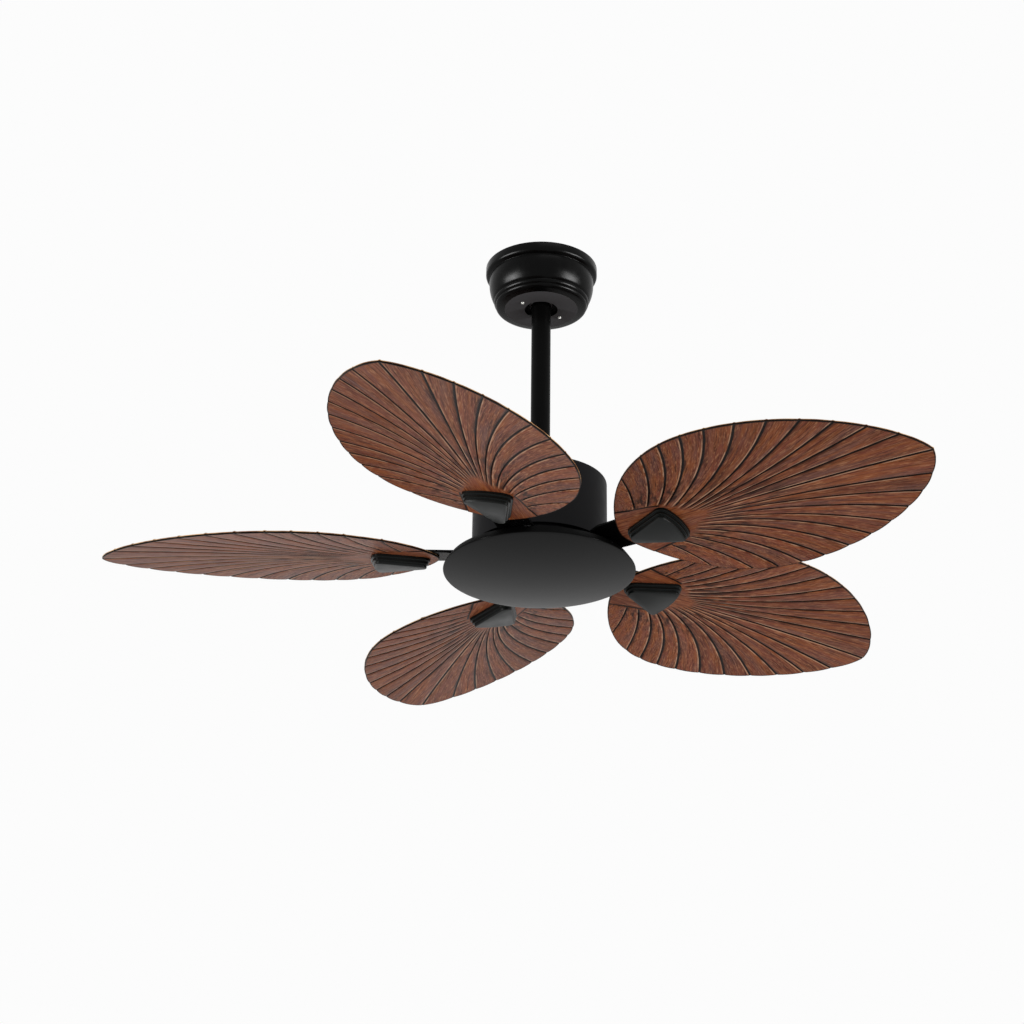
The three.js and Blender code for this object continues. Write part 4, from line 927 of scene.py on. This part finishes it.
def pad_outline(grow):
    """Guitar-pick outline, grown by the same distance all round, with its narrow end to the hub."""
    reach = PAD_CORNER_X - PAD_NOSE_X
    spread = hypot(reach, PAD_CORNER_Y)
    side = degrees(atan2(PAD_CORNER_Y, reach) + acos((PAD_NOSE_ROUND - PAD_CORNER_ROUND) / spread))
    nose = PAD_END - PAD_CORNER_X
    outer = (nose ** 2 + PAD_CORNER_Y ** 2 - PAD_CORNER_ROUND ** 2) / (2 * (nose - PAD_CORNER_ROUND))
    outer_x = PAD_END - outer
    outer_side = degrees(atan2(PAD_CORNER_Y, PAD_CORNER_X - outer_x))
    corner = PAD_CORNER_ROUND + grow
    return [
        *arc(PAD_NOSE_X, 0, PAD_NOSE_ROUND + grow, side, 360 - side, 16),
        *arc(PAD_CORNER_X, -PAD_CORNER_Y, corner, -side, -outer_side, 10),
        *arc(outer_x, 0, outer + grow, -outer_side, outer_side, 14)[1:-1],
        *arc(PAD_CORNER_X, PAD_CORNER_Y, corner, outer_side, side, 10),
    ]


def pad_solid():
    """Moulded pad with a stepped rim: each step has a small round that catches a line of light."""
    under = -LEAF_THICKNESS - GAP
    face = under - PAD_HEIGHT
    steps = [(5, under), (5, under - 3), (4.5, under - 3.5), (3.2, under - 3.6), (2.9, under - 3.9),
             (2.9, under - 7), (2.4, under - 7.5), (0.9, under - 7.6), (0.6, under - 7.9),
             (0.6, face + 1), (0.2, face + 0.3), (-0.5, face)]
    bm = bmesh.new()
    loops = []
    for grow, z in steps:
        corners = [bm.verts.new((x, y, z)) for x, y in pad_outline(grow)]
        loops.append([bm.edges.new(pair) for pair in zip(corners, corners[1:] + corners[:1])])
        if z in (under, face):
            bm.faces.new(corners)
    for upper, lower in zip(loops, loops[1:]):
        bmesh.ops.bridge_loops(bm, edges=upper + lower)
    bmesh.ops.recalc_face_normals(bm, faces=bm.faces)
    return bm


# ---------------- leaf blades

LEAF_ROOT = 121.6  # mm from the fan's axis
LEAF_WIDEST = 293.9
LEAF_TIP = 533.4
LEAF_HALF_WIDTH = 137.4
LEAF_FLAT_TO = 213
LEAF_FLAT_HALF = 30
LEAF_BOW = 4100  # radius of the droop along the leaf
LEAF_CROWN = 4450  # and across it
DROOP_SHIFT = 42  # mm from the drooping part's middle to the droop's highest place, towards the root
RIBS = 12  # on each side of the midrib
GROOVE_DEPTH = 1.5
RIDGE_HEIGHT = 1.3
GROOVE_HALF = 2.1
GROOVE_HALF_AT_ROOT = 0.7
SCALLOP = 0.6  # the edge draws in by this at each rib
PLEAT_CROWN = 0.5  # each pleat between two ribs swells by this
GROOVE_WIDENS = 1.5  # a groove reaches its full width after 1 / 1.5 of its length
WALL_MOST = 0.3  # of a pleat's width
RISE_LENGTH = 1 / 8  # share of a rib in which it rises from its foot
RUN_OUT = 0.35  # share of a groove's depth that is lost at the leaf's edge
RUN_OUT_FROM = 0.94  # share of the rib's length
RIB_LENGTH = 250  # mm, about
GRAIN_LENGTH = 260  # mm along a rib in the grain map
GRAIN_PITCH = 50  # mm between two pleats in the grain map
GRAIN_SHIFT = 900  # and between two leaves
ARCH_WARMTH = 0.35
STEM_WARMTH = 0.3
WARMTH_FADES = 4  # the root's warmth falls by this over a rib's length
GROOVE_SHADING_RISES = 30  # a groove has its full painted shade and highlight after 1 / 30 of its length
SHADE_REACH = 20  # mm, as far from the stem's groove and the leaf's edge as the painted shade needs
STEM_GROOVE = 0.7
HIGHLIGHT_BAND = 0.8  # height of the painted highlight at the edge's upper corner


class Edge:
    """A chain of cubic curves that is measured along its length."""

    def __init__(self, *curves):
        self.points = []
        for points in curves:
            self.points += [Vector((*p, 0)) for p in curve(*points, steps=300)]
        self.travel = [0]
        for a, b in zip(self.points, self.points[1:]):
            self.travel.append(self.travel[-1] + (b - a).length)
        self.length = self.travel[-1]

    def at(self, distance):
        distance = min(max(distance, 0), self.length)
        i = min(max(bisect_left(self.travel, distance), 1), len(self.points) - 1)
        step = self.travel[i] - self.travel[i - 1]
        share = (distance - self.travel[i - 1]) / step if step else 0
        return self.points[i - 1].lerp(self.points[i], share)

    def x_at_height(self, y):
        """Place on the root's side of the widest point at a distance from the midrib."""
        for a, b in zip(self.points, self.points[1:]):
            if b.y >= y:
                return a.x + (b.x - a.x) * (y - a.y) / max(b.y - a.y, 1e-9)
        return LEAF_WIDEST


LEAF_EDGE = Edge(
    ((LEAF_ROOT, 0), (LEAF_ROOT, LEAF_HALF_WIDTH * 0.152),
     (LEAF_ROOT + (LEAF_WIDEST - LEAF_ROOT) * 0.304, LEAF_HALF_WIDTH), (LEAF_WIDEST, LEAF_HALF_WIDTH)),
    ((LEAF_WIDEST, LEAF_HALF_WIDTH),
     (LEAF_WIDEST + (LEAF_TIP - LEAF_WIDEST) * 0.473, LEAF_HALF_WIDTH),
     (LEAF_TIP - (LEAF_TIP - LEAF_WIDEST) * 0.067, LEAF_HALF_WIDTH * 0.448), (LEAF_TIP, 0)),
)


# Distances of the ribs' ends from the tip, along the edge. The last one sets off the stem.
RIB_STOPS = list(accumulate([0, 45.6, *[36.6] * 6, *[31] * 3, 50.4, 72.6]))
RIB_BOWS = (0, 0.0125, 0.025, 0.0375, 0.05, 0.075, 0.08, 0.077, 0.08, 0.07, 0.05, 0.037, 0)
# Starts of the ribs: on the arch over the pad, and from the tenth on along the stem's groove.
RIB_STARTS = [Vector((*place, 0)) for place in (
    (240, 0), (238, 3.5), (234, 6), (229, 8.5), (223, 11), (217, 14), (214, 19), (209, 24), (201, 29),
    (195, 34), (181.5, 36.5), (165, 39), (159, 39.7))]
LAST_ON_ARCH = 9


def between(values, rib):
    """The value at a rib or between two, from one value for each rib."""
    before = min(int(rib), RIBS - 1)
    return values[before] + (values[before + 1] - values[before]) * (rib - before)


def rib_end(rib):
    return LEAF_EDGE.at(LEAF_EDGE.length - between(RIB_STOPS, rib))


STEM_LINE = RIB_STARTS[LAST_ON_ARCH:] + [rib_end(RIBS)]


def rib_point(rib, share):
    """Place on a rib, or between two, at a share of its length. Negative ribs are on the other side."""
    index = abs(rib)
    start, end = between(RIB_STARTS, index), rib_end(index)
    chord = end - start
    bulge = 4 * between(RIB_BOWS, index) * share * (1 - share)
    x = start.x + chord.x * share + chord.y * bulge
    y = start.y + chord.y * share - chord.x * bulge
    return x, (y if rib >= 0 else -y)


def foot_depth(rib):
    """Depth of the stem's groove at a rib's foot."""
    return STEM_GROOVE * min(max(rib - LAST_ON_ARCH, 0), 1)


def stem_gap(x, y):
    """Distance from the stem's groove, up to the most that the painted shade needs."""
    point = Vector((x, abs(y), 0))
    gaps = [SHADE_REACH]
    for a, b in zip(STEM_LINE, STEM_LINE[1:]):
        share = intersect_point_line(point, a, b)[1]
        gaps.append((a.lerp(b, min(max(share, 0), 1)) - point).length)
    return min(gaps)


def leaf_surface(x, y):
    """Height of the top face without its ridges: flat at the root, drooping outwards."""
    across = max(abs(y) - LEAF_FLAT_HALF, 0)
    middle = (LEAF_FLAT_TO + LEAF_TIP) / 2 - DROOP_SHIFT
    rise = max(x, LEAF_FLAT_TO) - middle
    along = (LEAF_FLAT_TO - middle) ** 2 - rise ** 2
    return along / (2 * LEAF_BOW) - across ** 2 / (2 * LEAF_CROWN)


LEAF_VALUES = ("top", "rib", "pleat_width", "groove", "root", "stem_gap", "rim_gap")


def spread(bm, seed, x_steps, y_steps, place, tone):
    """A grid whose every point goes where place(column, row) says, with tone(column) on its faces.

    place returns x, y, the height of the underside, the grain's across and along, and LEAF_VALUES: the
    height of the top face, the rib's number, the pleat's width, the groove's share of painted shade and
    highlight, the root's warmth, and the distances from the stem's groove and from the leaf's edge.
    """
    made = bmesh.ops.create_grid(bm, x_segments=x_steps, y_segments=y_steps, size=0.5)["verts"]
    faces = {face for vert in made for face in vert.link_faces}
    tones = bm.faces.layers.float["pleat_tone"]
    for face in faces:
        face[tones] = tone((face.calc_center_median().x + 0.5) * x_steps)
    layers = [bm.verts.layers.float[name] for name in LEAF_VALUES]
    grain = {}
    for vert in made:
        column = round((vert.co.x + 0.5) * x_steps)
        row = round((vert.co.y + 0.5) * y_steps)
        x, y, under, across, along, *values = place(column, row)
        vert.co = (x, y, under)
        grain[vert] = (across + GRAIN_SHIFT * seed, along)
        for layer, value in zip(layers, values):
            vert[layer] = value
    grain_map = bm.loops.layers.uv["grain"]
    for face in faces:
        for loop in face.loops:
            loop[grain_map].uv = grain[loop.vert]


LEAF_ROWS = 26
PLEAT_COLUMNS = 8


def pleat_part(pleat, step, share):
    """A pleat's width at a share of its length, and the share of that width at which a column stands. The
    first and last columns are in the grooves, and the ones between run from wall to wall."""
    near, far = rib_point(pleat, share), rib_point(pleat + 1, share)
    width = hypot(far[0] - near[0], far[1] - near[1])
    if step in (0, PLEAT_COLUMNS):
        return width, step // PLEAT_COLUMNS
    half = GROOVE_HALF_AT_ROOT + (GROOVE_HALF - GROOVE_HALF_AT_ROOT) * min(GROOVE_WIDENS * share, 1)
    wall = min(half / width, WALL_MOST)
    return width, wall + (1 - 2 * wall) * (step - 1) / (PLEAT_COLUMNS - 2)


def ribbed_place(column, row):
    """The pleats: columns run across the ribs, from one side's last rib to the other's, rows along them."""
    share = row / LEAF_ROWS
    pleat = min(column // PLEAT_COLUMNS, 2 * RIBS - 1) - RIBS
    step = column - (pleat + RIBS) * PLEAT_COLUMNS
    width, part = pleat_part(pleat, step, share)
    middle = 4 * part * (1 - part)  # 0 on a rib, 1 halfway between two
    on_rib = middle == 0
    stem = on_rib and abs(pleat + part) == RIBS
    pull = 0 if stem else SCALLOP / RIB_LENGTH * (1 - middle)
    x, y = rib_point(pleat + part, share * (1 - pull))
    rise = min(share / RISE_LENGTH, 1)
    run_out = 1 - RUN_OUT * max(share - RUN_OUT_FROM, 0) / (1 - RUN_OUT_FROM)
    if share == 0:
        depth = foot_depth(abs(pleat + part))
    elif stem:
        depth = STEM_GROOVE
    elif on_rib:
        depth = GROOVE_DEPTH * rise * run_out
    else:
        depth = PLEAT_CROWN * rise * (1 - middle)
    top = leaf_surface(x, y)
    ridge = RIDGE_HEIGHT * rise * run_out if on_rib and not stem else 0
    across = (pleat + 0.5) * GRAIN_PITCH + (part - 0.5) * width
    start, end = rib_point(pleat + part, 0), rib_point(pleat + part, 1)
    rim_gap = (1 - share) * hypot(end[0] - start[0], end[1] - start[1])
    return (x, y, top - LEAF_THICKNESS + depth, across, share * GRAIN_LENGTH, top + ridge,
            abs(pleat + part), width, min(GROOVE_SHADING_RISES * share, 1),
            max(ARCH_WARMTH - share * WARMTH_FADES, 0), stem_gap(x, y), min(rim_gap, SHADE_REACH))


def pleat_tone(column, seed):
    """A tone from 0 to 1, the same for all columns of a pleat. Its steps keep off the noise's own grid."""
    return (noise(Vector((7.31 * (column // PLEAT_COLUMNS), 3.17 * seed, 0.5))) + 1) / 2


SMOOTH_COLUMNS = 16


def arch_place(column, row):
    """The smooth patch between the two halves of the arch; rows follow the columns of the ribs."""
    pleat = min(row // PLEAT_COLUMNS, RIBS - 1)
    step = row - pleat * PLEAT_COLUMNS
    width, part = pleat_part(pleat, step, 0)
    x, y = rib_point(pleat + part, 0)
    across = (2 * column / SMOOTH_COLUMNS - 1) * y
    top = leaf_surface(x, across)
    depth = foot_depth(pleat + part) if column in (0, SMOOTH_COLUMNS) else 0
    return (x, across, top - LEAF_THICKNESS + depth, across, x - RIB_STARTS[0].x, top, pleat + part, width,
            0, ARCH_WARMTH, stem_gap(x, across), SHADE_REACH)


OFF_THE_LEAF = -20  # a column that gives the arch and the stem a tone of their own
STEM_ROWS = 10
STEM_GROOVE_HALF = 1.2


def stem_place(column, row):
    """The stem: lines of equal y from the last ribs and the arch's foot to the leaf's edge."""
    if column < LEAF_ROWS:
        x, y = rib_point(-RIBS, 1 - column / LEAF_ROWS)
    elif column <= LEAF_ROWS + SMOOTH_COLUMNS:
        foot = RIB_STARTS[RIBS]
        x, y = foot.x, (2 * (column - LEAF_ROWS) / SMOOTH_COLUMNS - 1) * foot.y
    else:
        x, y = rib_point(RIBS, (column - LEAF_ROWS - SMOOTH_COLUMNS) / LEAF_ROWS)
    on_rib = not LEAF_ROWS < column < LEAF_ROWS + SMOOTH_COLUMNS
    length = max(x - LEAF_EDGE.x_at_height(abs(y)), 0)
    wall = min(STEM_GROOVE_HALF, length / STEM_ROWS)
    travel = 0 if row == 0 else wall + (length - wall) * (row - 1) / (STEM_ROWS - 1)
    top = leaf_surface(x - travel, y)
    under = top - LEAF_THICKNESS + (STEM_GROOVE if on_rib and row == 0 else 0)
    return (x - travel, y, under, y, x - travel - RIB_STARTS[0].x, top, RIBS, 1, 0, STEM_WARMTH,
            stem_gap(x - travel, y), min(length - travel, SHADE_REACH))


def thicken(bm, sheet, below_top, side_material):
    """Raises a copy of the sheet to a height below the top face and closes the wall round its rim."""
    before = set(bm.faces)
    raised = bmesh.ops.extrude_face_region(bm, geom=sheet)["geom"]
    top = bm.verts.layers.float["top"]
    for vert in only_verts(raised):
        vert.co.z = vert[top] - below_top
    upper = [face for face in raised if isinstance(face, bmesh.types.BMFace)]
    for face in set(bm.faces) - before - set(upper):
        face.material_index = side_material
    return upper


def leaf_solid(seed):
    """Pleated leaf with a groove below and a ridge above at each rib, and an edge with painted shade below
    a painted highlight.
    """
    bm = bmesh.new()
    for name in LEAF_VALUES:
        bm.verts.layers.float.new(name)
    bm.faces.layers.float.new("pleat_tone")
    bm.loops.layers.uv.new("grain")
    spread(bm, seed, 2 * RIBS * PLEAT_COLUMNS, LEAF_ROWS, ribbed_place,
           lambda column: pleat_tone(column, seed))
    root_tone = pleat_tone(OFF_THE_LEAF, seed)
    spread(bm, seed, SMOOTH_COLUMNS, RIBS * PLEAT_COLUMNS, arch_place, lambda column: root_tone)
    spread(bm, seed, 2 * LEAF_ROWS + SMOOTH_COLUMNS, STEM_ROWS, stem_place, lambda column: root_tone)
    bmesh.ops.remove_doubles(bm, verts=bm.verts, dist=0.004)
    # the edge's lower wall takes the painted shade, its upper corner the painted highlight
    middle = thicken(bm, list(bm.faces), HIGHLIGHT_BAND, 1)
    thicken(bm, middle, 0, 2)
    bmesh.ops.remove_doubles(bm, verts=bm.verts, dist=0.004)
    bmesh.ops.recalc_face_normals(bm, faces=bm.faces)
    return bm


def make_blades(walnut, edge_shade, edge_highlight, plastic):
    for i in range(BLADES):
        finished(moved(leaf_solid(i), on_leaf(i)), f"leaf_{i + 1}", "rotor",
                 [walnut, edge_shade, edge_highlight], [f"blade_{i + 1}"])
        finished(moved(pad_solid(), on_leaf(i)), f"pad_{i + 1}", "rotor", [plastic],
                 [f"medallion_{i + 1}"])


# ---------------- everything that is built in CAD alone


def dressed(node, material, width=0.25):
    """A CAD piece with its edges broken and its facets smoothed."""
    bm = bmesh.new()
    bm.from_mesh(nodes[node].data)
    bmesh.ops.scale(bm, vec=(1 / MM, 1 / MM, 1 / MM), verts=bm.verts)
    bmesh.ops.remove_doubles(bm, verts=bm.verts, dist=0.003)
    bmesh.ops.dissolve_limit(bm, angle_limit=radians(1), verts=bm.verts, edges=bm.edges)
    finished(softened(bm, width), f"{node}_dressed", nodes[node]["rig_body"], [material], [node])


make_camera()
make_studio()

enamel = gloss_enamel()
satin_coat = satin_powder_coat()
zinc = bright_zinc()
oxide = black_oxide()
make_canopy(enamel, painted_reflection_enamel(), zinc)
make_ball(black_nylon())
tube_paint = tube_enamel()
make_rod(tube_paint)
make_yoke_cap(enamel)
make_housing(satin_coat)
make_pan(matt_powder_coat(), dry_powder_coat(), oxide)
make_arms(tube_paint, zinc)
make_blades(stained_walnut(), shaded_edge(), highlit_edge(), gloss_pad_plastic())
aluminium = die_cast_aluminium()
for material, members in (
    (zinc, ["cross_pin", "clevis_pin", "clevis_clip", "shaft_nut", "cover_plate_nut",
            "housing_screw_1", "housing_screw_2", "housing_screw_3", "upper_bearing", "lower_bearing"]),
    (oxide, ["cross_pin_clip", "ball_set_screw", "yoke_set_screw", "motor_shaft", "lower_spacer"]),
    (aluminium, ["motor_coupling", "rotor_upper_cover"]),
    (satin_coat, ["hanger_bracket", "rotor_lower_cover"]),
    (laminated_steel(), ["stator_core"]),
    (enamelled_copper(), ["stator_windings"]),
    (bonded_magnet(), ["rotor_magnet_ring"]),
    (white_abs(), ["receiver_box"]),
):
    for member in members:
        dressed(member, material)

light_enamel("canopy_bell", "rod", "yoke_cap")
